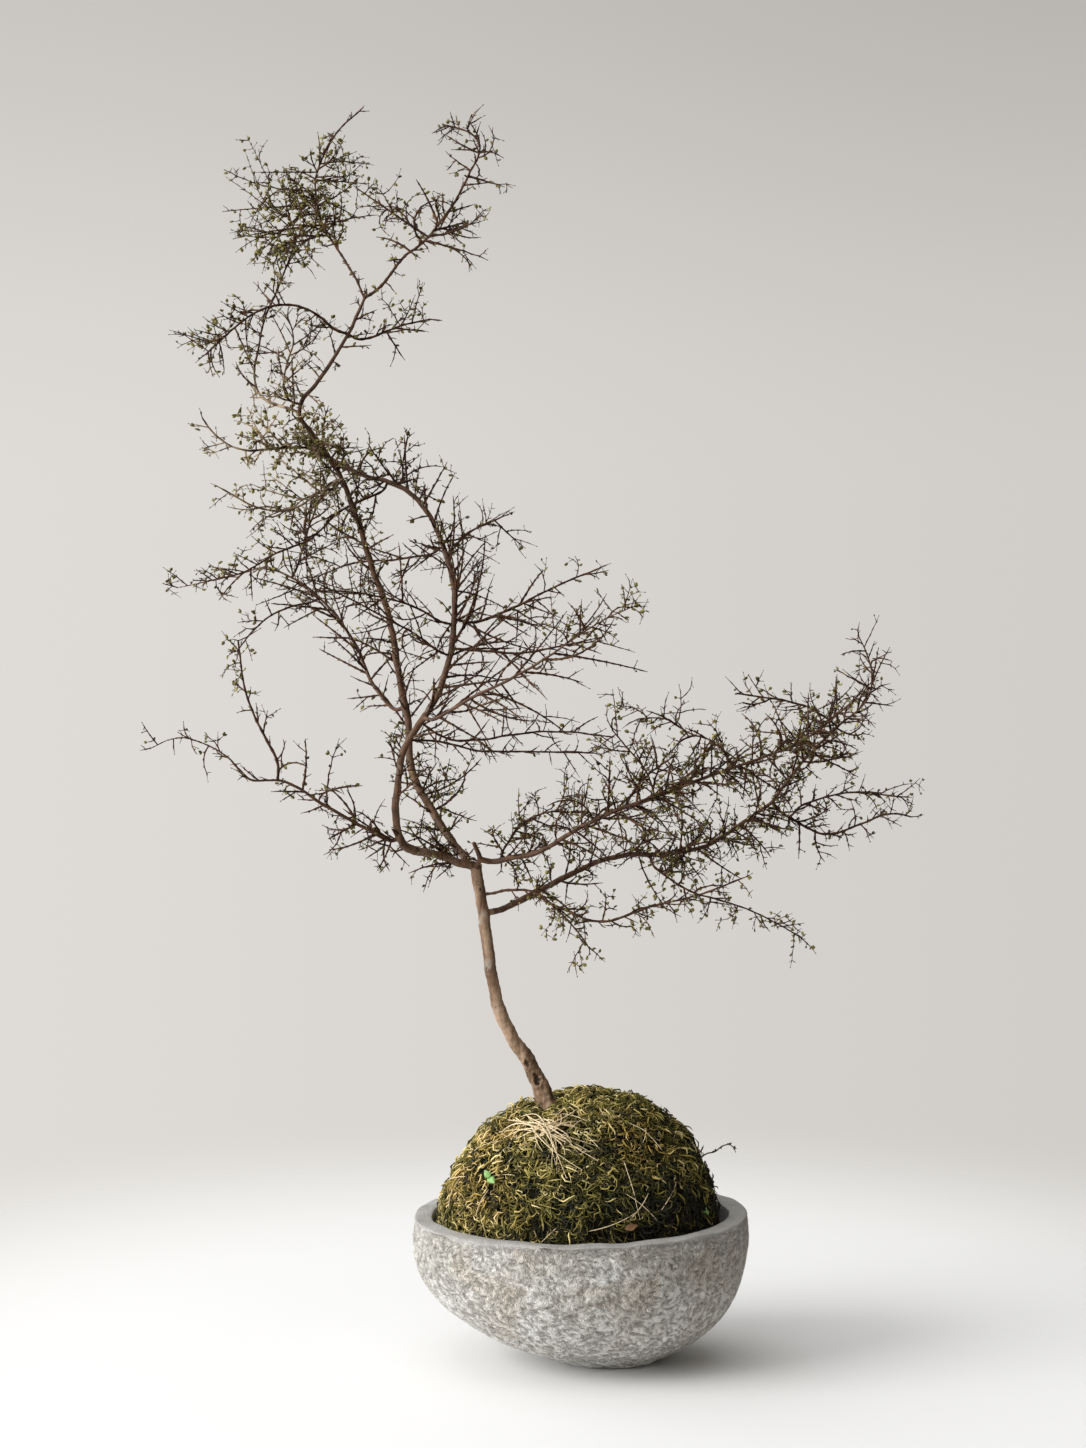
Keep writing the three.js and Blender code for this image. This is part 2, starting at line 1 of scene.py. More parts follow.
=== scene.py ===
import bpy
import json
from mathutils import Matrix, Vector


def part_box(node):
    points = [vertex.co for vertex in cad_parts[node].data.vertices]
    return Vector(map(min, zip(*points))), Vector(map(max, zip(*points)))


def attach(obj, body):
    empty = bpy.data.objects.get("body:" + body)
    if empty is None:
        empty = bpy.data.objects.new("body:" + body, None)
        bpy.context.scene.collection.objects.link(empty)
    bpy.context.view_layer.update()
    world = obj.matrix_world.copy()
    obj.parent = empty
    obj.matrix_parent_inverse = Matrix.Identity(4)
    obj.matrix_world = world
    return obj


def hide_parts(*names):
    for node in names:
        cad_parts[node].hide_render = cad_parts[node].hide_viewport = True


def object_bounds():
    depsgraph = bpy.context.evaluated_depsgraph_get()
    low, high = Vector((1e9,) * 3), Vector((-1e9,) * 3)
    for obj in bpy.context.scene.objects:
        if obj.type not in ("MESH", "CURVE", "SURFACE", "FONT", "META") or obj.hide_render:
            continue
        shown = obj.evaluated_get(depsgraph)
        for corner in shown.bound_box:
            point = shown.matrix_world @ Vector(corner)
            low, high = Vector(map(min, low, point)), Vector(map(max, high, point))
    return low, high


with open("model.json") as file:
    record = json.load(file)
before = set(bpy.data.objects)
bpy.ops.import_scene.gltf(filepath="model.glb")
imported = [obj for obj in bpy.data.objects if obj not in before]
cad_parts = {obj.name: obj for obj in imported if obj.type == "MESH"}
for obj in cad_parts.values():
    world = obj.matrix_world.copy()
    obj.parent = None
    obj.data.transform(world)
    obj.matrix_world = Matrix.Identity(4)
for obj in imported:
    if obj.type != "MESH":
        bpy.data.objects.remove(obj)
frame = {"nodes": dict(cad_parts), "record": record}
cad_box = [list(corner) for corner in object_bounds()]

import json
import math

import bmesh
import bpy
import numpy as np
from mathutils import Matrix, Quaternion, Vector, noise
from mathutils.bvhtree import BVHTree
from mathutils.kdtree import KDTree

bl_info = {
    "name": "Coprosma kokedama",
    "version": (1, 0, 0),
    "blender": (4, 5, 0),
    "location": "3D View > Sidebar > Kokedama",
    "description": "Dresses a moss-ball tree in a stone bowl with stone, moss, bark, twigs and leaves",
    "category": "Object",
}

BODY = "root"
MM = 0.001
UP = Vector((0, 0, 1))
noise.seed_set(4)  # vector noise is offset by the clock until it is seeded

# Nodes of the frame, by what they are made of.
LIMBS = [row["node"] for row in frame["record"]["subparts"] if row["material_slot"] == "bark"]
BRANCHES = [row["node"] for row in frame["record"]["subparts"] if row["material_slot"] == "twig_bark"]


# ======== Settings ========


def strength(name, description, default):
    return bpy.props.FloatProperty(name=name, description=description, default=default, min=0)


def length(name, description, default):
    return bpy.props.FloatProperty(name=name, description=description, default=default, unit="LENGTH")


def colour(name, description, default):
    return bpy.props.FloatVectorProperty(
        name=name, description=description, default=default, size=3, min=0, max=1, subtype="COLOR"
    )


def count(name, description, default):
    return bpy.props.IntProperty(name=name, description=description, default=default, min=0)


class StageSettings(bpy.types.PropertyGroup):
    floor_radius: length("Floor radius", "How far the pale floor reaches before it has faded out", 1.2)
    floor_solid: length("Solid floor", "Radius inside which the floor is fully there", 0.36)
    floor_colour: colour("Floor", "Colour of the floor", (0.76, 0.76, 0.76))
    wall_light: colour("Wall, lit side", "Backdrop colour on the side of the light", (0.74, 0.715, 0.68))
    wall_dark: colour("Wall, far side", "Backdrop colour high up on the other side", (0.44, 0.425, 0.395))
    key_power: strength("Key light", "Power of the window light", 290)
    fill_power: strength("Fill light", "Power of the front fill", 2)
    ceiling_power: strength("Ceiling light", "Power of the light overhead", 30)
    window_side: strength("Room, lit side", "Room light from the left", 1.5)
    far_side: strength("Room, far side", "Room light from the right", 0.15)


class BowlSettings(bpy.types.PropertyGroup):
    rim_round: length("Rim rounding", "Radius that the rim's two edges are worn to", 1.8 * MM)
    rim_wander: length("Rim wander", "How far the hand-cut rim strays from its line", 2.2 * MM)
    rim_depth: length("Rim depth", "How far down the rim's wander reaches", 20 * MM)
    pecks: count("Chisel marks", "How many short chisel marks cover the outside", 9000)
    peck_length: length("Mark length", "Length of a chisel mark", 10 * MM)
    peck_width: length("Mark width", "Half the width of a chisel mark", 1.35 * MM)
    peck_depth: length("Mark depth", "Depth of a chisel mark", 1.5 * MM)
    swell: length("Swell", "How far the hand-cut wall wanders in and out", 2.6 * MM)
    light: colour("Stone, light", "Pale freshly pecked stone", (0.74, 0.735, 0.72))
    dark: colour("Stone, dark", "Darker grain of the stone", (0.53, 0.51, 0.475))
    tan: colour("Stone, tan", "Warm patches in the stone", (0.42, 0.32, 0.21))
    honed: colour("Honed rim", "Smooth sawn stone of the rim and the hollow", (0.29, 0.28, 0.26))


class MossSettings(bpy.types.PropertyGroup):
    fibres: count("Fibres", "Curled strands that cover the ball", 16000)
    fibre_length: length("Fibre length", "Length of a strand", 20 * MM)
    fibre_girth: length("Fibre girth", "Radius of a strand", 0.72 * MM)
    collar: length("Collar", "How far the moss is banked up round the trunk's foot", 9 * MM)
    shoots: count("Moss shoots", "Feathery green shoots between the strands", 5200)
    lumps: length("Lumps", "Height of the ball's lumps", 4 * MM)
    straws: count("Straws", "Dry grass stems caught in the moss", 46)


class TreeSettings(bpy.types.PropertyGroup):
    voxel: length("Bark grain", "Size of the cells that the limbs are fused at", 0.88 * MM)
    node_spacing: length("Node spacing", "Distance between the nodes of a twig", 6.4 * MM)
    twig_length: length("Twig length", "Length of a twig that leaves a limb", 46 * MM)
    twig_radius: length("Twig radius", "Radius of a twig where it leaves a limb", 1.0 * MM)
    leaf_length: length("Leaf length", "Length of a full-grown leaf", 4.7 * MM)
    bud_length: length("Bud length", "Length of a bud", 1.7 * MM)


class KokedamaSettings(bpy.types.PropertyGroup):
    stage: bpy.props.PointerProperty(type=StageSettings)
    bowl: bpy.props.PointerProperty(type=BowlSettings)
    moss: bpy.props.PointerProperty(type=MossSettings)
    tree: bpy.props.PointerProperty(type=TreeSettings)


# ======== Making pieces ========


def place(name, data, material, replaces=(), smooth=True):
    """A finished piece: it rides on the body, takes a slot and a material, and stands for its frame nodes."""
    if smooth:
        data.polygons.foreach_set("use_smooth", np.ones(len(data.polygons), bool))
    piece = bpy.data.objects.new(name, data)
    bpy.context.scene.collection.objects.link(piece)
    data.materials.clear()
    data.materials.append(material)
    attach(piece, BODY)
    if replaces:
        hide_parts(*replaces)
    return piece


def applied(mesh_or_curve, add_modifiers=None):
    """The mesh that a throwaway object gives once its modifiers are applied."""
    helper = bpy.data.objects.new("helper", mesh_or_curve)
    bpy.context.scene.collection.objects.link(helper)
    if add_modifiers:
        add_modifiers(helper)
    graph = bpy.context.evaluated_depsgraph_get()
    made = bpy.data.meshes.new_from_object(helper.evaluated_get(graph))
    bpy.data.objects.remove(helper)
    return made


def coordinates(mesh):
    flat = np.empty(len(mesh.vertices) * 3, np.float32)
    mesh.vertices.foreach_get("co", flat)
    return flat.reshape(-1, 3).astype(float)


def normals(mesh):
    flat = np.empty(len(mesh.vertices) * 3, np.float32)
    mesh.vertices.foreach_get("normal", flat)
    return flat.reshape(-1, 3).astype(float)


def move_vertices(mesh, points):
    mesh.vertices.foreach_set("co", points.astype(np.float32).ravel())
    mesh.update()


def store(mesh, name, values):
    """A number for each vertex, for the materials to read."""
    layer = mesh.attributes.new(name, "FLOAT", "POINT")
    layer.data.foreach_set("value", np.asarray(values, np.float32))


def noise_at(points, scale):
    return np.array([noise.noise(Vector(p * scale)) for p in points])


def vector_noise_at(points, scale):
    return np.array([noise.noise_vector(Vector(p * scale)) for p in points])


def merged_bmesh(node):
    """A frame node's mesh with its loose triangles joined up."""
    bm = bmesh.new()
    bm.from_mesh(frame["nodes"][node].data)
    bmesh.ops.remove_doubles(bm, verts=bm.verts, dist=0.005 * MM)
    bm.verts.index_update()
    return bm


def mesh_from(bm, name):
    mesh = bpy.data.meshes.new(name)
    bm.to_mesh(mesh)
    bm.free()
    return mesh


def tubes(name, routes, sides_level=0):
    """Round tubes along routes. A route is a list of (point, radius), and its corners stay as they are."""
    curve = bpy.data.curves.new(name, "CURVE")
    curve.dimensions = "3D"
    curve.bevel_depth = 1
    curve.bevel_resolution = sides_level
    curve.use_fill_caps = True
    for route in routes:
        spline = curve.splines.new("POLY")
        spline.points.add(len(route) - 1)
        spline.points.foreach_set("co", [c for point, _ in route for c in (*point, 1)])
        spline.points.foreach_set("radius", [radius for _, radius in route])
    mesh = applied(curve)
    bpy.data.curves.remove(curve)
    mesh.name = name
    return mesh


def smooth_route(points, radii, per_span=4):
    """A denser route on a smooth curve through the points."""
    ends = [points[0] * 2 - points[1], *points, points[-1] * 2 - points[-2]]
    route = []
    for i in range(len(points) - 1):
        a, b, c, d = ends[i : i + 4]
        for step in range(per_span):
            t = step / per_span
            point = 0.5 * (
                2 * b + (c - a) * t + (2 * a - 5 * b + 4 * c - d) * t**2 + (3 * b - a - 3 * c + d) * t**3
            )
            route.append((point, radii[i] + (radii[i + 1] - radii[i]) * t))
    route.append((points[-1], radii[-1]))
    return route


def stamp(name, templates, choices, matrices, **layers):
    """One mesh that holds a copy of a template at each matrix. A layer gives one number to each copy."""
    parts = []
    for index, template in enumerate(templates):
        chosen = np.flatnonzero(choices == index)
        if not len(chosen):
            continue
        rest = coordinates(template)
        along = np.empty(len(rest), np.float32)
        template.attributes["along"].data.foreach_get("value", along)
        corners = np.empty(len(template.loops), np.int32)
        template.loops.foreach_get("vertex_index", corners)
        starts = np.empty(len(template.polygons), np.int32)
        template.polygons.foreach_get("loop_start", starts)
        turned = np.einsum("kij,nj->kni", matrices[chosen, :3, :3], rest) + matrices[chosen, None, :3, 3]
        numbers = {key: np.repeat(values[chosen], len(rest)) for key, values in layers.items()}
        parts.append((turned.reshape(-1, 3), corners, starts, len(rest), len(chosen), along, numbers))
    mesh = bpy.data.meshes.new(name)
    mesh.vertices.add(sum(len(p[0]) for p in parts))
    mesh.loops.add(sum(len(p[1]) * p[4] for p in parts))
    mesh.polygons.add(sum(len(p[2]) * p[4] for p in parts))
    all_corners, all_starts, first_vertex, first_loop = [], [], 0, 0
    for turned, corners, starts, size, copies, along, numbers in parts:
        steps = np.arange(copies)[:, None]
        all_corners.append((corners + size * steps).ravel() + first_vertex)
        all_starts.append((starts + len(corners) * steps).ravel() + first_loop)
        first_vertex += len(turned)
        first_loop += len(corners) * copies
    mesh.vertices.foreach_set("co", np.concatenate([p[0] for p in parts]).astype(np.float32).ravel())
    mesh.loops.foreach_set("vertex_index", np.concatenate(all_corners).astype(np.int32))
    mesh.polygons.foreach_set("loop_start", np.concatenate(all_starts).astype(np.int32))
    mesh.update(calc_edges=True)
    store(mesh, "along", np.concatenate([np.tile(p[5], p[4]) for p in parts]))
    for key in layers:
        store(mesh, key, np.concatenate([p[6][key] for p in parts]))
    return mesh


def frames_along(heads, faces, sizes, places):
    """4x4 matrices whose X looks along heads and whose Z leans towards faces, scaled and placed."""
    x = heads / np.linalg.norm(heads, axis=1, keepdims=True)
    y = np.cross(faces, x)
    y /= np.maximum(np.linalg.norm(y, axis=1, keepdims=True), 1e-9)
    z = np.cross(x, y)
    matrices = np.zeros((len(heads), 4, 4))
    matrices[:, :3, 0], matrices[:, :3, 1], matrices[:, :3, 2] = x, y, z
    matrices[:, :3, :3] *= sizes[:, None, None] if sizes.ndim == 1 else sizes[:, None, :]
    matrices[:, :3, 3] = places
    matrices[:, 3, 3] = 1
    return matrices


# ======== Materials ========


class Nodes:
    """Adds nodes to a node tree with short calls."""

    def __init__(self, tree):
        self.tree = tree

    def node(self, kind, inputs, **options):
        made = self.tree.nodes.new(kind)
        for key, value in options.items():
            setattr(made, key, value)
        for key, value in inputs.items():
            self.feed(made.inputs[key], value)
        return made

    def feed(self, socket, value):
        if isinstance(value, bpy.types.NodeSocket):
            self.tree.links.new(value, socket)
        else:
            socket.default_value = value

    def remap(self, value, low, high, new_low=0, new_high=1, **options):
        inputs = {"Value": value, "From Min": low, "From Max": high, "To Min": new_low, "To Max": new_high}
        return self.node("ShaderNodeMapRange", inputs, **options).outputs["Result"]

    def math(self, operation, a, b):
        return self.node("ShaderNodeMath", {0: a, 1: b}, operation=operation).outputs[0]

    def times(self, a, b):
        return self.math("MULTIPLY", a, b)

    def plus(self, a, b):
        return self.math("ADD", a, b)

    def mix(self, fac, a, b, blend="MIX"):
        a, b = [(*side, 1) if isinstance(side, (tuple, list)) else side for side in (a, b)]
        inputs = {"Fac": fac, "Color1": a, "Color2": b}
        return self.node("ShaderNodeMixRGB", inputs, blend_type=blend).outputs["Color"]

    def blend_shaders(self, fac, a, b, output):
        """Sends a mix of two shaders to the tree's output node."""
        made = self.node("ShaderNodeMixShader", {"Fac": fac, 1: a, 2: b})
        self.feed(self.tree.nodes[output].inputs["Surface"], made.outputs["Shader"])


class Finish(Nodes):
    """A material. Its patterns are in Object coordinates."""

    def __init__(self, name, roughness, gloss=0.5):
        self.material = bpy.data.materials.new(name)
        self.material.use_nodes = True
        super().__init__(self.material.node_tree)
        self.shader = self.tree.nodes["Principled BSDF"]
        self.shader.inputs["Roughness"].default_value = roughness
        self.shader.inputs["Specular IOR Level"].default_value = gloss
        self.where = self.node("ShaderNodeTexCoord", {}).outputs["Object"]

    def layer(self, name):
        return self.node("ShaderNodeAttribute", {}, attribute_name=name).outputs["Fac"]

    def stretched(self, scale):
        return self.node("ShaderNodeMapping", {"Vector": self.where, "Scale": scale}).outputs["Vector"]

    def noise(self, scale, detail=3, roughness=0.55, where=None, distortion=0):
        inputs = {"Vector": where or self.where, "Scale": scale, "Detail": detail}
        inputs |= {"Roughness": roughness, "Distortion": distortion}
        return self.node("ShaderNodeTexNoise", inputs).outputs["Fac"]

    def cells(self, scale, feature="F1", where=None):
        inputs = {"Vector": where or self.where, "Scale": scale}
        return self.node("ShaderNodeTexVoronoi", inputs, feature=feature).outputs["Distance"]

    def speckle(self, scale, detail, low, high, new_low=0, new_high=1, **options):
        """Noise, stretched from low to high."""
        return self.remap(self.noise(scale, detail, **options), low, high, new_low, new_high)

    def vector(self, operation, a, b, output="Vector"):
        return self.node("ShaderNodeVectorMath", {0: a, 1: b}, operation=operation).outputs[output]

    def ramp(self, value, stops):
        made = self.node("ShaderNodeValToRGB", {"Fac": value})
        elements = made.color_ramp.elements
        while len(elements) < len(stops):
            elements.new(0.5)
        for element, (position, shade) in zip(elements, stops):
            element.position = position
            element.color = (*shade, 1)
        return made.outputs["Color"]

    def colour(self, value):
        self.feed(self.shader.inputs["Base Color"], value)

    def roughness(self, value):
        self.feed(self.shader.inputs["Roughness"], value)

    def bump(self, height, distance, strength=1.0):
        made = self.node("ShaderNodeBump", {"Height": height, "Distance": distance, "Strength": strength})
        self.feed(self.shader.inputs["Normal"], made.outputs["Normal"])


def stone_finish(bowl):
    finish = Finish("pecked_river_stone", 0.85)
    chisel_shade, honed = finish.layer("chisel_shade"), finish.layer("honed")
    # the stone's colour: mottled, with tan patches, a fine grain and dark pits, and paler towards the foot by
    # painted bounce light from the floor
    base = finish.mix(finish.speckle(16, 5, 0.3, 0.7, roughness=0.6), tuple(bowl.dark), tuple(bowl.light))
    patches = finish.speckle(17, 4, 0.5, 0.7, 0, 0.55, roughness=0.6, distortion=0.6)
    base = finish.mix(patches, base, tuple(bowl.tan))
    grain = finish.ramp(
        finish.speckle(620, 4, 0.3, 0.7, roughness=0.7), [(0, (0.1, 0.09, 0.075)), (1, (0.85, 0.84, 0.8))]
    )
    base = finish.mix(0.24, base, grain, "OVERLAY")
    # painted light: the stone turns paler towards the foot, as if lit from the floor below
    height = finish.node("ShaderNodeSeparateXYZ", {0: finish.where}).outputs["Z"]
    base = finish.mix(finish.remap(height, 0.1, 0.0, 0, 0.8), base, (0.96, 0.95, 0.92))
    base = finish.mix(finish.remap(finish.cells(190), 0.06, 0.16, 0.75, 0), base, (0.09, 0.075, 0.055))
    # painted shade: the stone is darkened down in the chisel marks, by how deep each mark goes
    base = finish.mix(finish.times(chisel_shade, 0.8), base, (0.15, 0.13, 0.1))
    smooth_stone = finish.mix(finish.speckle(60, 5, 0.3, 0.7, 0, 0.7), tuple(bowl.honed), (0.44, 0.43, 0.41))
    finish.roughness(finish.remap(honed, 0, 1, 0.9, 0.58))
    # curly tool lines: broad grooves, and thin crests where a bent wave crosses its middle
    wander = finish.node("ShaderNodeTexNoise", {"Vector": finish.where, "Scale": 75, "Detail": 1})
    bent = finish.vector("MULTIPLY", wander.outputs["Color"], (0.045, 0.045, 0.045))
    bent = finish.vector("ADD", bent, finish.where)
    off = finish.math("ABSOLUTE", finish.math("SUBTRACT", finish.noise(88, 0, 0.4, bent, 2.6), 0.5), 0)
    crest = finish.times(finish.speckle(120, 1, 0.4, 0.52, roughness=0.5), 0.5)
    crest = finish.times(finish.remap(off, 0.0, 0.035, 1, 0), crest)
    grooves = finish.speckle(125, 1, 0.38, 0.62, roughness=0.4, where=bent, distortion=2.2)
    strokes = finish.plus(finish.times(grooves, 0.5), crest)
    # painted light and shade: the tool lines are coloured dark in their grooves and light on their crests, in
    # step with their bump
    stroke_light_and_shade = finish.ramp(strokes, [(0, (0.2, 0.19, 0.17)), (1, (0.78, 0.78, 0.77))])
    finish.colour(finish.mix(honed, finish.mix(0.36, base, stroke_light_and_shade, "OVERLAY"), smooth_stone))
    relief = finish.plus(finish.times(strokes, 0.8), finish.times(finish.noise(700, 4, 0.7), 0.4))
    finish.bump(finish.times(relief, finish.remap(honed, 0, 1, 1, 0.3)), 2.2 * MM)
    return finish.material


def soil_finish():
    finish = Finish("damp_soil", 0.95)
    crumbs = finish.noise(300, 5)
    finish.colour(finish.ramp(crumbs, [(0.3, (0.012, 0.008, 0.005)), (0.7, (0.06, 0.035, 0.02))]))
    finish.bump(finish.noise(400, 5, 0.7), 2 * MM)
    return finish.material


def moss_bed_shade_finish():
    finish = Finish("moss_bed", 0.95, 0.2)
    # painted shade: the bed under the strands is nearly black, so that the gaps between them read as shade
    finish.colour(finish.ramp(finish.noise(260, 5, 0.7), [
        (0.3, (0.004, 0.004, 0.002)),
        (0.55, (0.013, 0.012, 0.004)),
        (0.75, (0.04, 0.034, 0.011)),
    ]))
    finish.bump(finish.noise(420, 5, 0.75), 3 * MM)
    return finish.material


def moss_fibre_finish():
    finish = Finish("moss_fibres", 0.78, 0.3)
    tone = finish.plus(finish.layer("tone"), finish.speckle(320, 2, 0.3, 0.7, -0.07, 0.07))
    body = finish.ramp(tone, [
        (0.0, (0.007, 0.007, 0.003)),
        (0.22, (0.03, 0.028, 0.008)),
        (0.42, (0.1, 0.088, 0.016)),
        (0.62, (0.235, 0.195, 0.04)),
        (0.82, (0.44, 0.355, 0.11)),
        (1.0, (0.72, 0.6, 0.29)),
    ])
    body = finish.mix(finish.speckle(16, 2, 0.5, 0.66, 0, 0.6), body, (1.0, 0.76, 0.55), "MULTIPLY")
    # painted shade: each strand is darkened towards its root, down in the mat
    root = finish.remap(finish.layer("along"), 0, 0.5, 0.55, 0)
    finish.colour(finish.mix(root, body, (0.012, 0.01, 0.005)))
    return finish.material


def moss_shoot_finish():
    finish = Finish("moss_shoots", 0.7, 0.3)
    body = finish.ramp(finish.layer("tone"), [
        (0.0, (0.03, 0.038, 0.006)),
        (0.5, (0.115, 0.125, 0.016)),
        (0.8, (0.21, 0.22, 0.03)),
        (1.0, (0.33, 0.34, 0.07)),
    ])
    # painted shade: each shoot is darkened towards its foot, down in the mat
    finish.colour(finish.mix(finish.remap(finish.layer("along"), 0, 0.6, 0.6, 0), body, (0.02, 0.02, 0.005)))
    return finish.material


def straw_finish():
    finish = Finish("dry_grass", 0.6)
    streaks = [(0.3, (0.4, 0.28, 0.14)), (0.5, (0.64, 0.51, 0.31)), (0.75, (0.82, 0.71, 0.5))]
    finish.colour(finish.ramp(finish.noise(500, 3), streaks))
    return finish.material


def bark_finish():
    finish = Finish("grey_brown_bark", 0.62, 0.3)
    thick = finish.ramp(finish.noise(90, 5, 0.65, finish.stretched((1, 1, 0.14)), 0.3), [
        (0.3, (0.045, 0.022, 0.011)),
        (0.45, (0.14, 0.08, 0.043)),
        (0.58, (0.31, 0.205, 0.132)),
        (0.78, (0.5, 0.37, 0.265)),
    ])
    thin = finish.ramp(finish.noise(150, 4), [(0.3, (0.03, 0.012, 0.005)), (0.7, (0.12, 0.055, 0.026))])
    body = finish.mix(finish.remap(finish.layer("girth"), 2.6 * MM, 6 * MM), thin, thick)
    body = finish.mix(finish.remap(finish.cells(170), 0.1, 0.2, 0.45, 0), body, (0.06, 0.035, 0.025))
    lichen = finish.speckle(55, 5, 0.62, 0.72, 0, 0.5, roughness=0.6)
    body = finish.mix(lichen, body, (0.36, 0.33, 0.28))
    # painted shade: the bark is darkened in the knot hollows
    finish.colour(finish.mix(finish.layer("hollow"), body, (0.03, 0.016, 0.01)))
    finish.bump(finish.noise(420, 4, 0.6, finish.stretched((1, 1, 0.3))), 0.4 * MM, 0.5)
    return finish.material


def twig_finish():
    """Red-brown bark, bleached round the old dense branch low in the crown."""
    finish = Finish("red_brown_twigs", 0.6, 0.15)
    body = finish.ramp(finish.noise(110, 4), [
        (0.3, (0.013, 0.005, 0.002)),
        (0.5, (0.04, 0.0155, 0.006)),
        (0.7, (0.115, 0.052, 0.023)),
    ])
    middle = tuple((a + b) / 2 for a, b in zip(*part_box("dense_crown_branch")))
    gap = finish.vector("DISTANCE", finish.where, middle, "Value")
    bleached = finish.times(finish.speckle(60, 2, 0.42, 0.6), finish.remap(gap, 0.03, 0.1, 0.8, 0))
    finish.colour(finish.mix(bleached, body, (0.5, 0.38, 0.23)))
    return finish.material


def bud_finish():
    finish = Finish("buds", 0.55, 0.2)
    tones = [(0, (0.02, 0.012, 0.008)), (0.6, (0.045, 0.03, 0.016)), (1, (0.09, 0.08, 0.028))]
    finish.colour(finish.ramp(finish.layer("tone"), tones))
    return finish.material


def leaf_finish():
    finish = Finish("small_leaves", 0.42, 0.3)
    body = finish.ramp(finish.layer("tone"), [
        (0.0, (0.042, 0.035, 0.008)),
        (0.35, (0.1, 0.085, 0.017)),
        (0.7, (0.2, 0.175, 0.035)),
        (1.0, (0.4, 0.36, 0.11)),
    ])
    finish.colour(finish.mix(finish.speckle(500, 3, 0.3, 0.7, 0, 0.3), body, (0.1, 0.08, 0.03)))
    return finish.material


def plain_leaf_finish(name, dark, light, roughness=0.5):
    finish = Finish(name, roughness)
    finish.colour(finish.ramp(finish.noise(380, 4), [(0.3, dark), (0.7, light)]))
    finish.bump(finish.noise(900, 3), 0.2 * MM)
    return finish.material


# ======== Stone bowl ========


def looks_out(face, middle):
    """Whether a face is on the bowl's outside wall."""
    away = face.calc_center_median() - middle
    away.z = 0
    return face.normal.dot(away) > 0 and face.normal.z < 0.25


def bowl_body(bowl):
    """The frame's bowl with worn rim edges, rounded off and subdivided, finest on the outside."""
    bm = merged_bmesh("stone_bowl")
    bmesh.ops.join_triangles(bm, faces=bm.faces, angle_face_threshold=math.pi, angle_shape_threshold=math.pi)
    rim_height = min(v.co.z for v in bm.verts if v.co.z > 0.95 * max(w.co.z for w in bm.verts))
    sharp = []
    for edge in bm.edges:
        if min(v.co.z for v in edge.verts) >= rim_height and edge.calc_face_angle(0) > 0.9:
            sharp.append(edge)
    middle = Vector(np.mean([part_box("stone_bowl")[0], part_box("stone_bowl")[1]], axis=0))
    outer = [face for face in bm.faces if looks_out(face, middle)]
    # dicts stand in for sets here, because they keep their order and so give the same mesh on each run
    around = [*outer, *(e for face in outer for e in face.edges), *(v for face in outer for v in face.verts)]
    rim_support = Vector((0, 0, rim_height - 5 * MM))
    bmesh.ops.bisect_plane(bm, geom=list(dict.fromkeys(around)), plane_co=rim_support, plane_no=UP)
    bmesh.ops.bevel(
        bm, geom=sharp, offset=bowl.rim_round, offset_type="OFFSET", segments=2, profile=0.5, affect="EDGES",
        material=-1,
    )
    rough = mesh_from(bm, "bowl_rough")

    def round_off(helper):
        modifier = helper.modifiers.new("round", "SUBSURF")
        modifier.levels = modifier.render_levels = 3

    mesh = applied(rough, round_off)
    bm = bmesh.new()
    bm.from_mesh(mesh)
    outside = {}
    for face in bm.faces:
        if looks_out(face, middle) and 8 * MM < face.calc_center_median().z < rim_height:
            outside.update(dict.fromkeys(face.edges))
    bmesh.ops.subdivide_edges(bm, edges=list(outside), cuts=1, use_grid_fill=True)
    return mesh_from(bm, "stone_bowl_body")


def chisel(mesh, bowl, rng):
    """Presses short curved chisel marks into the outside. Gives how deep each vertex went, from 0 to 1."""
    points, facing = coordinates(mesh), normals(mesh)
    low, high = [np.array(corner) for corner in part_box("stone_bowl")]
    middle = (low + high) / 2
    away = points - middle
    away[:, 2] = 0
    outward = np.einsum("ij,ij->i", facing, away / np.linalg.norm(away, axis=1, keepdims=True))
    workable = np.flatnonzero((outward > 0.1) & (facing[:, 2] < 0.45) | (facing[:, 2] < -0.3))
    tree = KDTree(len(points))
    for index, point in enumerate(points):
        tree.insert(point, index)
    tree.balance()
    depth = np.zeros(len(points))
    for seat in rng.choice(workable, bowl.pecks):
        centre, up = points[seat], facing[seat]
        reach = bowl.peck_length * rng.uniform(0.5, 1.1) / 2
        near = np.array([index for _, index, _ in tree.find_range(centre, reach + bowl.peck_width)])
        swirl = noise.noise(Vector(centre * 22)) * 7 + rng.normal(0, 0.5)
        side = np.cross(up, [0, 0, 1.0])
        side /= np.linalg.norm(side) + 1e-9
        rise = np.cross(up, side)
        run = side * math.cos(swirl) + rise * math.sin(swirl)
        cross = np.cross(up, run)
        offset = points[near] - centre
        u, v = offset @ run / reach, offset @ cross
        v = v - (1 - u**2) * reach * rng.uniform(-0.35, 0.35)
        profile = np.clip(1 - u**2, 0, 1) * np.clip(1 - (v / bowl.peck_width) ** 2, 0, 1)
        np.maximum.at(depth, near, profile * rng.uniform(0.5, 1))
    return depth, workable, facing


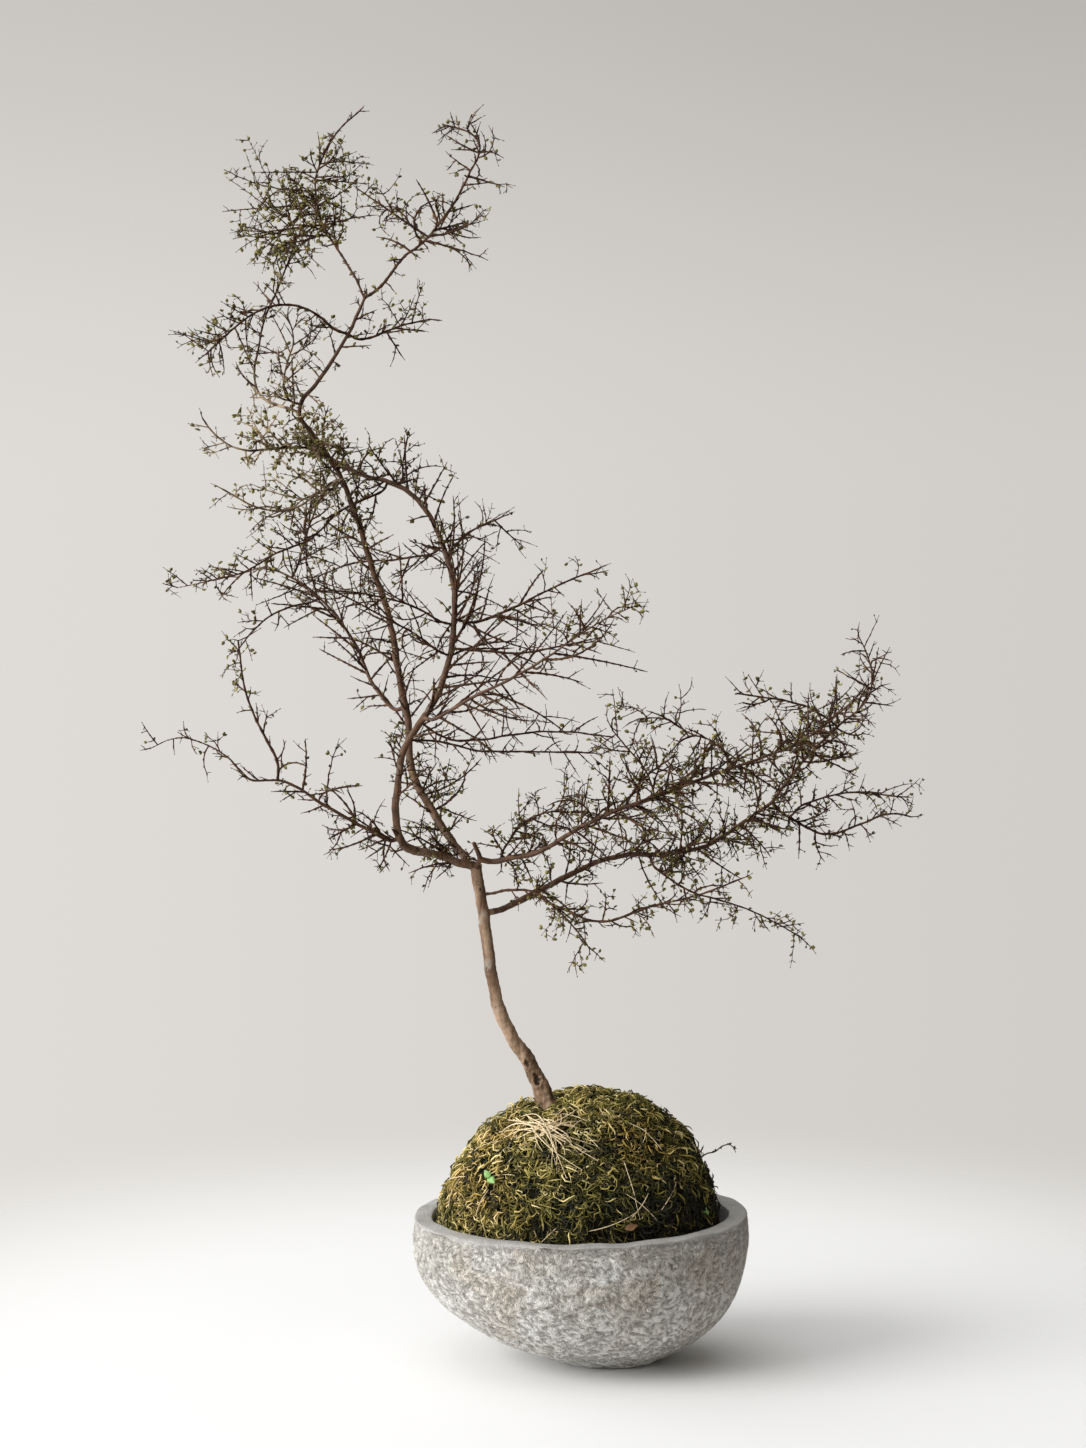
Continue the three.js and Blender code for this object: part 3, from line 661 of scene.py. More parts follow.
class KOKEDAMA_OT_bowl(bpy.types.Operator):
    """Carve the river-stone bowl: pecked outside, honed rim and hollow"""

    bl_idname = "kokedama.bowl"
    bl_label = "Stone bowl"

    def execute(self, context):
        bowl = context.scene.kokedama.bowl
        rng = np.random.default_rng(11)
        mesh = bowl_body(bowl)
        depth, workable, facing = chisel(mesh, bowl, rng)
        points = coordinates(mesh)
        floor_guard = np.clip(points[:, 2] / (3 * MM), 0, 1)
        swell = noise_at(points, 16) + 0.6 * noise_at(points, 38)
        rough = np.zeros(len(points))
        rough[workable] = np.clip((0.45 - facing[workable, 2]) / 0.3, 0, 1)
        inward = rough * (depth * bowl.peck_depth + (0.5 - 0.5 * swell) * bowl.swell)
        near_rim = np.clip(1 - (points[:, 2].max() - points[:, 2]) / bowl.rim_depth, 0, 1)
        worn = vector_noise_at(points, 34) * bowl.rim_wander
        move_vertices(mesh, points + worn * near_rim[:, None] - facing * (inward * floor_guard)[:, None])
        # how deep each chisel mark goes, which the stone's colour turns into painted shade
        store(mesh, "chisel_shade", depth)
        store(mesh, "honed", 1 - rough)
        place("pecked_stone_bowl", mesh, stone_finish(bowl), ["stone_bowl"])
        return {"FINISHED"}


# ======== Moss ball ========


class Mound:
    """The moss ball's outside: places on it are angles round its middle, from the front and from level."""

    def __init__(self):
        bm = merged_bmesh("moss_wrap")
        self.tree = BVHTree.FromBMesh(bm)
        bm.free()
        low, high = [Vector(corner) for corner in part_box("moss_wrap")]
        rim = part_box("stone_bowl")[1][2]
        self.rim = rim
        self.middle = Vector(((low.x + high.x) / 2, (low.y + high.y) / 2, rim - 20 * MM))

    def way(self, azimuth, elevation):
        a, e = math.radians(azimuth), math.radians(elevation)
        return Vector((math.sin(a) * math.cos(e), -math.cos(a) * math.cos(e), math.sin(e)))

    def surface(self, way):
        point, facing, _, _ = self.tree.ray_cast(self.middle + way * 0.4, -way)
        return point, facing

    def spot(self, azimuth, elevation, lift=0.0):
        way = self.way(azimuth, elevation)
        point, _ = self.surface(way)
        return point + way * lift


def trunk_foot():
    """Where the trunk leaves the moss, and its radius there."""
    points, radii = limb_route("trunk")
    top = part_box("moss_wrap")[1][2]
    return min(zip(points, radii), key=lambda item: abs(item[0].z - top))


def moss_bed(mound, moss):
    """The lumpy bed that the fibres grow from."""
    bm = bmesh.new()
    bmesh.ops.create_icosphere(bm, subdivisions=6, radius=1)
    for vert in bm.verts:
        point, _ = mound.surface(vert.co.normalized())
        vert.co = point
    for _ in range(10):
        bmesh.ops.smooth_vert(
            bm, verts=bm.verts, factor=0.5, use_axis_x=True, use_axis_y=True, use_axis_z=True
        )
    bm.normal_update()
    foot, _ = trunk_foot()
    for vert in bm.verts:
        height = noise.fractal(vert.co * 26, 1.0, 2.0, 3) * moss.lumps
        fade = min(1, max(0, (vert.co.z - mound.rim + 35 * MM) / (20 * MM)))
        vert.co += vert.normal * (height - 2 * MM) * fade
        gap = math.hypot(vert.co.x - foot.x, vert.co.y - foot.y) / (16 * MM)
        vert.co.z += moss.collar * math.exp(-gap * gap) * (vert.co.z > mound.rim)
    return mesh_from(bm, "moss_bed")


def mark_along(mesh, reach=1.0):
    """Stores how far along its X each vertex of a template lies."""
    store(mesh, "along", np.clip(coordinates(mesh)[:, 0] / reach, 0, 1))
    return mesh


def curled_strand(rng, girth, kinks=5):
    """A template strand one unit long: it runs along X, arches up and curls from side to side."""
    phase, swing = rng.uniform(0, 6.28), rng.uniform(0.5, 1.7) * rng.choice([-1, 1])
    heading, point, route = rng.uniform(-0.5, 0.5), Vector((0, 0, 0)), []
    for step in range(kinks):
        t = step / (kinks - 1)
        route.append((point.copy(), girth * (1.0 if 0 < t < 1 else 0.3)))
        turn = heading + swing * math.sin(phase + 4.5 * t)
        lift = math.cos(math.pi * t) * 0.55
        point += Vector((math.cos(turn), math.sin(turn), lift)) / (kinks - 1)
    return mark_along(tubes("strand", [route]))


def moss_shoot(rng):
    """A template shoot one unit long: narrow leaflets in two rows along a rising line."""
    bm = bmesh.new()
    lie = Matrix.Rotation(math.pi / 2, 4, "Y")
    for step in range(7):
        t = 0.12 + step / 8
        size = 0.3 * (1.15 - t) + 0.06
        shape = Matrix.Diagonal((size, size * 0.4, size * 0.14, 1)) @ lie
        for side in (-1, 1):
            made = bmesh.ops.create_cone(bm, cap_ends=True, segments=3, radius1=0.5, radius2=0, depth=1)
            turn = Matrix.Rotation(side * rng.uniform(0.7, 1.1), 4, "Z")
            turn @= Matrix.Rotation(-rng.uniform(0.1, 0.6), 4, "Y")
            move = Matrix.Translation((t, 0, 0.25 * t * t)) @ turn @ Matrix.Translation((size / 2, 0, 0))
            bmesh.ops.transform(bm, matrix=move @ shape, verts=made["verts"])
    return mark_along(mesh_from(bm, "moss_shoot"))


def scatter(bed, low, number, rng):
    """Random places on the bed above a height: points and normals, spread evenly over its area."""
    bed.calc_loop_triangles()
    corners = np.array([t.vertices for t in bed.loop_triangles])
    points, facing = coordinates(bed), normals(bed)
    middle = points[corners].mean(axis=1)
    area = np.array([t.area for t in bed.loop_triangles]) * (middle[:, 2] > low)
    picked = rng.choice(len(corners), number, p=area / area.sum())
    weights = rng.dirichlet((1, 1, 1), number)
    where = np.einsum("ij,ijk->ik", weights, points[corners[picked]])
    normal = np.einsum("ij,ijk->ik", weights, facing[corners[picked]])
    return where, normal / np.linalg.norm(normal, axis=1, keepdims=True)


def tangents(where, normal, rng, downhill, eddy=2.4):
    """Directions along the surface: they follow slow eddies, waver, and are drawn downhill by a share."""
    random_way = vector_noise_at(where, 42) * eddy + rng.normal(0, 0.42, normal.shape)
    fall = np.array([0, 0, -1.0]) + normal * normal[:, 2:3]
    fall /= np.maximum(np.linalg.norm(fall, axis=1, keepdims=True), 1e-6)
    way = random_way + fall * downhill[:, None]
    way -= normal * np.einsum("ij,ij->i", way, normal)[:, None]
    return way / np.linalg.norm(way, axis=1, keepdims=True)


def moss_tone_and_light(where, mound, rng):
    """Tan on the left and the front slope, green on the crown, nearly black low on the right: partly the
    moss's own colour, partly painted light that makes the left and the crown lighter, and painted shade low
    on the right.
    """
    x = (where[:, 0] - mound.middle.x) / (0.125)
    z = (where[:, 2] - mound.rim) / (0.1)
    patch = np.array([noise.fractal(Vector(p * 30), 1.0, 2.0, 2) for p in where])
    # painted light: the tone rises towards the lit left side and up the crown
    tone = 0.44 - 0.19 * x + 0.19 * np.clip(z, -0.3, 1) + 0.16 * patch + 0.5 * noise_at(where, 105)
    tone = tone + rng.normal(0, 0.27, len(where))
    # painted shade: low on the right the tone falls to nearly black
    dark = np.clip((0.55 - z) * 1.3, 0, 1) * np.clip(x + 0.5, 0, 1)
    return np.clip(tone - 0.55 * dark, 0.02, 1)


SHOOT_LENGTH = 8.5 * MM


class KOKEDAMA_OT_moss(bpy.types.Operator):
    """Wrap the root ball in its bed of moss, curled fibres and feathery shoots"""

    bl_idname = "kokedama.moss"
    bl_label = "Moss ball"

    def execute(self, context):
        moss = context.scene.kokedama.moss
        mound = Mound()
        rng = np.random.default_rng(23)
        bed = moss_bed(mound, moss)
        place("moss_bed", bed, moss_bed_shade_finish(), ["moss_wrap"])
        self.fibres(mound, bed, moss, rng)
        self.shoots(mound, bed, moss, rng)
        frame["nodes"]["soil_ball"].data.materials.clear()
        frame["nodes"]["soil_ball"].data.materials.append(soil_finish())
        return {"FINISHED"}

    def fibres(self, mound, bed, moss, rng):
        templates = [curled_strand(rng, moss.fibre_girth / moss.fibre_length) for _ in range(10)]
        finish = moss_fibre_finish()
        pieces = 5
        for piece in range(pieces):
            number = moss.fibres // pieces
            where, normal = scatter(bed, mound.rim - 30 * MM, number, rng)
            covered = noise_at(where, 85) + rng.normal(0, 0.12, number) > -0.26
            where, normal = where[covered], normal[covered]
            number = len(where)
            steep = np.clip(1.2 - normal[:, 2], 0, 1)
            along = tangents(where, normal, rng, steep * 0.8)
            along = along + normal * rng.uniform(-0.12, 0.4, number)[:, None]
            reach = moss.fibre_length * rng.uniform(0.4, 1.15, number)
            girth = moss.fibre_length * rng.uniform(0.55, 1.1, number)
            sizes = np.stack([reach, reach, girth], axis=1)
            matrices = frames_along(along, normal, sizes, where - normal * 1.0 * MM)
            mesh = stamp(
                f"moss_fibres_{piece + 1}", templates, rng.integers(0, len(templates), number), matrices,
                tone=moss_tone_and_light(where, mound, rng),
            )
            place(mesh.name, mesh, finish)

    def shoots(self, mound, bed, moss, rng):
        templates = [moss_shoot(rng) for _ in range(4)]
        where, normal = scatter(bed, mound.rim - 10 * MM, moss.shoots, rng)
        crown = np.clip((where[:, 2] - mound.rim) / 0.1, 0, 1)
        keep = rng.uniform(size=moss.shoots) < 0.25 + 0.75 * crown
        where, normal, crown = where[keep], normal[keep], crown[keep]
        number = len(where)
        along = tangents(where, normal, rng, np.full(number, 0.3), 0.5)
        along = along + normal * rng.uniform(0.15, 1.1, number)[:, None]
        sizes = SHOOT_LENGTH * rng.uniform(0.5, 1.1, number)
        matrices = frames_along(along, normal, sizes, where)
        tone = np.clip(0.25 + 0.4 * crown + rng.normal(0, 0.2, number), 0, 1)
        mesh = stamp("moss_shoots", templates, rng.integers(0, len(templates), number), matrices, tone=tone)
        place(mesh.name, mesh, moss_shoot_finish(), smooth=False)


# ======== What lies on the moss ========

# Places on the mound are (degrees round it from the front, degrees up).
# The burst's straws all pass its crossing.
BURST_CROSSING = (-25, 56)
SEEDLING_AT = (-47, 31)
SECOND_SEEDLING_AT = (66, 13)
DRY_LEAF_AT = (22, 13)


def straw_route(mound, azimuth, elevation, heading, reach, radius, rng, lift=2.2 * MM):
    """A straw that lies over the mound from a place, in a heading (0 is right, 90 is up the slope)."""
    route, steps = [], 7
    bend = rng.uniform(-0.18, 0.18)
    for step in range(steps + 1):
        t = step / steps
        turn = math.radians(heading) + bend * t
        degrees = math.degrees(reach * t / 0.12)
        a = azimuth + degrees * math.cos(turn) / max(0.35, math.cos(math.radians(elevation)))
        e = min(84, elevation + degrees * math.sin(turn))
        thin = radius * (1 - 0.45 * t) if step else radius * 0.6
        route.append((mound.spot(a, e, lift * (0.5 + math.sin(math.pi * t))), thin))
    return route


def straw_over(mound, start, crossing, end, radius, lift):
    """A straw that lies over the mound from one place to another, by way of a crossing."""
    start, crossing, end = Vector(start), Vector(crossing), Vector(end)
    pull = crossing * 2 - (start + end) / 2
    route = []
    for step in range(11):
        t = step / 10
        place_at = start * (1 - t) ** 2 + pull * 2 * t * (1 - t) + end * t * t
        thin = radius * (1 - 0.5 * abs(2 * t - 0.8))
        route.append((mound.spot(place_at.x, place_at.y, lift * (0.4 + math.sin(math.pi * t))), thin))
    return route


def blade(name, length_to, width, fold=0.25, cup=0.2):
    """A leaf one piece thick: a grid drawn to two points, folded along its middle and cupped."""
    bm = bmesh.new()
    bmesh.ops.create_grid(bm, x_segments=5, y_segments=2, size=0.5)
    for vert in bm.verts:
        t = vert.co.x + 0.5
        belly = math.sin(math.pi * min(1, 0.06 + 0.92 * t) ** 0.8)
        side = vert.co.y * width * belly
        vert.co = Vector((t * length_to, side, abs(side) * fold + cup * length_to * t * (1 - t)))
    bmesh.ops.solidify(bm, geom=bm.faces[:], thickness=0.045 * width)
    bmesh.ops.recalc_face_normals(bm, faces=bm.faces)
    return mark_along(mesh_from(bm, name), length_to)


def joined(name, parts):
    """One mesh from several meshes, each put in place by a matrix."""
    bm = bmesh.new()
    for mesh, matrix in parts:
        copy = mesh.copy()
        copy.transform(matrix)
        bm.from_mesh(copy)
        bpy.data.meshes.remove(copy)
    return mesh_from(bm, name)


def looking(way, face, at, size=1.0):
    """A matrix whose X looks along a way and whose Z leans towards a face."""
    rows = frames_along(np.array([way]), np.array([face]), np.array([size]), np.array([at]))
    return Matrix(rows[0].tolist())


class KOKEDAMA_OT_litter(bpy.types.Operator):
    """Lay straws, seedlings, a dead sprig and fallen bits on the moss"""

    bl_idname = "kokedama.litter"
    bl_label = "Straws and seedlings"

    def execute(self, context):
        moss = context.scene.kokedama.moss
        mound, rng = Mound(), np.random.default_rng(37)
        self.straws(mound, moss, rng)
        self.seedlings(mound)
        self.sprig()
        self.fallen(mound, rng)
        return {"FINISHED"}

    def straws(self, mound, moss, rng):
        routes = []
        for number in range(22):
            crossing = BURST_CROSSING[0] + rng.normal(0, 5), BURST_CROSSING[1] + rng.normal(0, 2.5)
            start = rng.uniform(-74, -44), rng.uniform(50, 66)
            end = rng.uniform(-22, 18), rng.uniform(36, 55)
            if number % 3 == 2:
                start = rng.uniform(-30, 10), rng.uniform(60, 73)
                end = rng.uniform(-52, -20), rng.uniform(38, 52)
            radius, lift = rng.uniform(0.5, 0.8) * MM, rng.uniform(4, 8) * MM
            routes.append(straw_over(mound, start, crossing, end, radius, lift))
        for _ in range(moss.straws):
            azimuth, elevation = rng.uniform(-180, 180), rng.uniform(8, 75)
            reach, heading = rng.uniform(18, 44) * MM, rng.uniform(0, 360)
            routes.append(straw_route(mound, azimuth, elevation, heading, reach, 0.44 * MM, rng, 3 * MM))
        routes.append(straw_route(mound, 27, 44, -90, 58 * MM, 0.45 * MM, rng, 2.6 * MM))
        routes.append(straw_route(mound, 0, 12, 6, 64 * MM, 0.5 * MM, rng, 3 * MM))
        mesh = tubes("straws", routes, 1)
        place("straws", mesh, straw_finish(), ["dry_straw"])

    def seedlings(self, mound):
        leaf = blade("seed_leaf", 8 * MM, 6.5 * MM, 0.1, 0.12)
        parts = []
        for (azimuth, elevation), size in ((SEEDLING_AT, 1.0), (SECOND_SEEDLING_AT, 0.7)):
            way = mound.way(azimuth, elevation)
            side = way.cross(UP).normalized()
            foot = mound.spot(azimuth, elevation, 0)
            top = foot + way * 8 * MM * size
            route = [(foot, 0.7 * MM), (foot.lerp(top, 0.5), 0.6 * MM), (top, 0.6 * MM)]
            parts.append((mark_along(tubes("seed_stem", [route], 1)), Matrix.Identity(4)))
            for heading in (side * -0.8 - UP * 0.45 + way * 0.1, side * 0.75 + UP * 0.75 + way * 0.2):
                parts.append((leaf, looking(heading, way, top, size)))
            parts.append((leaf, looking(side * 0.3 - UP + way * 0.4, way, top, size * 0.55)))
        mesh = joined("seedlings", parts)
        finish = plain_leaf_finish("seedling_green", (0.13, 0.27, 0.055), (0.25, 0.43, 0.13))
        place("seedlings", mesh, finish, ["seedling"])

    def sprig(self):
        low, high = [Vector(corner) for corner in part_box("dead_sprig")]
        foot = Vector((low.x, (low.y + high.y) / 2, low.z))
        reach = high - low
        # the stem's line as shares of the sprig's room, to the right and up
        shape = [
            (-0.15, -0.25), (0.12, 0.28), (0.33, 0.42), (0.5, 0.8), (0.68, 0.95), (0.8, 0.72), (0.86, 0.35),
        ]
        points = [foot + Vector((x * reach.x, reach.y * 0.2 * x, z * reach.z)) for x, z in shape]
        radii = [0.8 * MM, 0.65 * MM, 0.6 * MM, 0.6 * MM, 0.5 * MM, 0.5 * MM, 0.3 * MM]
        parts = [(mark_along(tubes("sprig_stem", [smooth_route(points, radii)], 1)), Matrix.Identity(4))]
        scale = blade("scale", 3.2 * MM, 1.8 * MM, 0.4, 0.3)
        ways = [(0.3, 0.2, 1), (-0.2, -1, 0.4), (1, 0.3, 0.5), (0.5, 0.6, -1), (1, -0.5, -0.3)]
        face = Vector((0.2, -1, 0.3))
        for index, (x, y, z) in enumerate(ways):
            at = points[2 + index if index < 4 else 5]
            parts.append((scale, looking(Vector((x, y, z)), face, at)))
            parts.append((scale, looking(Vector((-z, x, y)), face, at, 0.8)))
        finish = plain_leaf_finish("dead_wood", (0.012, 0.01, 0.007), (0.05, 0.04, 0.025), 0.8)
        mesh = joined("dead_sprig_dressed", parts)
        place("dead_sprig_dressed", mesh, finish, ["dead_sprig"])

    def fallen(self, mound, rng):
        leaf = blade("dry_leaf", 12 * MM, 6 * MM, 0.3, 0.15)
        at = mound.spot(*DRY_LEAF_AT, 3.5 * MM)
        way = mound.way(*DRY_LEAF_AT)
        mesh = joined("dry_leaf", [(leaf, looking(way.cross(UP) * -1 + UP * 0.15, way, at))])
        finish = plain_leaf_finish("dry_leaf", (0.13, 0.06, 0.025), (0.27, 0.14, 0.06), 0.7)
        place("dry_leaf", mesh, finish, smooth=False)
        crumbs = []
        bm = bmesh.new()
        bmesh.ops.create_icosphere(bm, subdivisions=1, radius=1)
        crumb = mesh_from(bm, "crumb")
        for _ in range(26):
            azimuth = rng.uniform(60, 88)
            spot = mound.spot(azimuth, rng.uniform(2, 9), rng.uniform(1, 4) * MM)
            size = rng.uniform(0.6, 1.6) * MM
            turn = Matrix.Rotation(rng.uniform(0, 3), 4, "X")
            crumbs.append((crumb, Matrix.Translation(spot) @ turn @ Matrix.Scale(size, 4)))
        mesh = joined("crumbs", crumbs)
        finish = plain_leaf_finish("crumbs", (0.01, 0.008, 0.005), (0.05, 0.035, 0.02), 0.9)
        place("crumbs", mesh, finish, smooth=False)


# ======== Wood ========


def tip_ring(bm):
    """The vertices of the flat round cap at a limb's thin end."""
    flat = bm.copy()
    bmesh.ops.dissolve_limit(flat, angle_limit=math.radians(0.4), verts=flat.verts, edges=flat.edges)
    caps = []
    for face in flat.faces:
        reach = [(v.co - face.calc_center_median()).length for v in face.verts]
        if len(reach) >= 5 and max(reach) < 1.1 * min(reach):
            caps.append((max(reach), [v.co.copy() for v in face.verts]))
    flat.free()
    corners = min(caps)[1] if caps else []
    return [v for v in bm.verts if any((v.co - corner).length < 0.01 * MM for corner in corners)]


def limb_route(node):
    """The middle line and the radii of a frame limb, from its base to its tip."""
    bm = merged_bmesh(node)
    ring = tip_ring(bm)
    size, seen = len(ring), set(ring)
    points, radii = [], []
    while len(ring) == size:
        centre = sum((v.co for v in ring), Vector()) / size
        points.append(centre)
        radii.append(sum((v.co - centre).length for v in ring) / size)
        beyond = {e.other_vert(v) for v in ring for e in v.link_edges} - seen
        ring = sorted(beyond, key=lambda v: v.index)
        seen |= beyond
    bm.free()
    return points[::-1], radii[::-1]


class Tree:
    """Every frame limb's route, with each one led back to the middle of the limb that it grows from."""

    def __init__(self):
        raw = {node: limb_route(node) for node in [*LIMBS, *BRANCHES]}
        self.index, self.owners = [], []
        for node, (points, radii) in raw.items():
            for point, radius in smooth_route(points, radii, 6):
                self.index.append(point)
                self.owners.append((node, radius))
        self.lookup = KDTree(len(self.index))
        for number, point in enumerate(self.index):
            self.lookup.insert(point, number)
        self.lookup.balance()
        self.routes = {}
        for node, (points, radii) in raw.items():
            root = None if node == "trunk" else self.join(node, points[0])
            if root is not None:
                points, radii = [root, *points], [radii[0] * 1.1, *radii]
            smooth = smooth_route(points, radii, 5)
            self.routes[node] = [self.gnarl(step, *item, node in LIMBS) for step, item in enumerate(smooth)]

    def gnarl(self, step, point, radius, thick):
        """Wanders a little off the smooth line, and swells at every third step."""
        wander = noise.noise_vector(point * 70) * (0.35 * MM + 0.22 * radius)
        knuckle = 1 + (0.06 if thick else 0.28) * (step % 3 == 0)
        return point + wander, radius * knuckle * (1 + 0.12 * noise.noise(point * 45))

    def join(self, node, base):
        for point, number, distance in self.lookup.find_n(base, 400):
            if self.owners[number][0] != node and distance < 25 * MM:
                return point
        return None


KNOTS = [  # height over the moss, turn round the trunk from the front (right is positive), radius
    (33 * MM, -22, 3.0 * MM),
    (20 * MM, 4, 3.9 * MM),
    (23 * MM, -62, 2.4 * MM),
    (118 * MM, -35, 1.5 * MM),
    (188 * MM, 10, 1.3 * MM),
]


def nearest_on(route, height):
    return min(route, key=lambda item: abs(item[0].z - height))


def press_knots(mesh, tree, ground):
    """Swells the trunk round each knot, and hollows its middle. Gives how hollow each vertex is."""
    points, facing = coordinates(mesh), normals(mesh)
    hollow = np.zeros(len(points))
    for height, turn, radius in KNOTS:
        centre, girth = nearest_on(tree.routes["trunk"], ground + height)
        a = math.radians(turn)
        seat = np.array(centre) + np.array([math.sin(a), -math.cos(a), 0]) * girth
        offset = points - seat
        offset[:, 2] *= 0.6
        distance = np.linalg.norm(offset, axis=1)
        close = np.flatnonzero(distance < radius * 3)
        distance[close] += noise_at(points[close], 420) * radius * 0.55
        lip = np.exp(-(((distance - radius) / (radius * 0.4)) ** 2)) * radius * 0.16
        dent = np.exp(-((distance / (radius * 0.78)) ** 4))
        points += facing * (lip - dent * radius * 0.6)[:, None]
        hollow = np.maximum(hollow, dent)
    move_vertices(mesh, points)
    return hollow


class KOKEDAMA_OT_limbs(bpy.types.Operator):
    """Grow the trunk and the limbs as one fused skin of bark"""

    bl_idname = "kokedama.limbs"
    bl_label = "Trunk and limbs"

    def execute(self, context):
        tree_settings = context.scene.kokedama.tree
        tree, ground = Tree(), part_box("moss_wrap")[1][2]
        routes = [tree.routes[node] for node in LIMBS]
        rough = tubes("limbs_rough", routes, 4)

        def fuse(helper):
            modifier = helper.modifiers.new("fuse", "REMESH")
            modifier.mode = "VOXEL"
            modifier.voxel_size = tree_settings.voxel
            relax = helper.modifiers.new("relax", "SMOOTH")
            relax.factor, relax.iterations = 0.5, 3

        mesh = applied(rough, fuse)
        mesh.name = "bark"
        hollow = press_knots(mesh, tree, ground - 8 * MM)
        points, facing = coordinates(mesh), normals(mesh)
        girth = np.array([tree.owners[tree.lookup.find(Vector(p))[1]][1] for p in points])
        ridges = np.array([noise.fractal(Vector((x, y, z * 0.14)) * 230, 1.0, 2.0, 2) for x, y, z in points])
        rings = np.array([noise.noise(Vector((0, 0, p[2] * 130)) + Vector(p * 12)) for p in points])
        move_vertices(mesh, points + facing * ((ridges * 0.075 + rings * 0.02) * girth)[:, None])
        store(mesh, "girth", girth)
        store(mesh, "hollow", hollow)
        place("bark", mesh, bark_finish(), LIMBS)
        return {"FINISHED"}


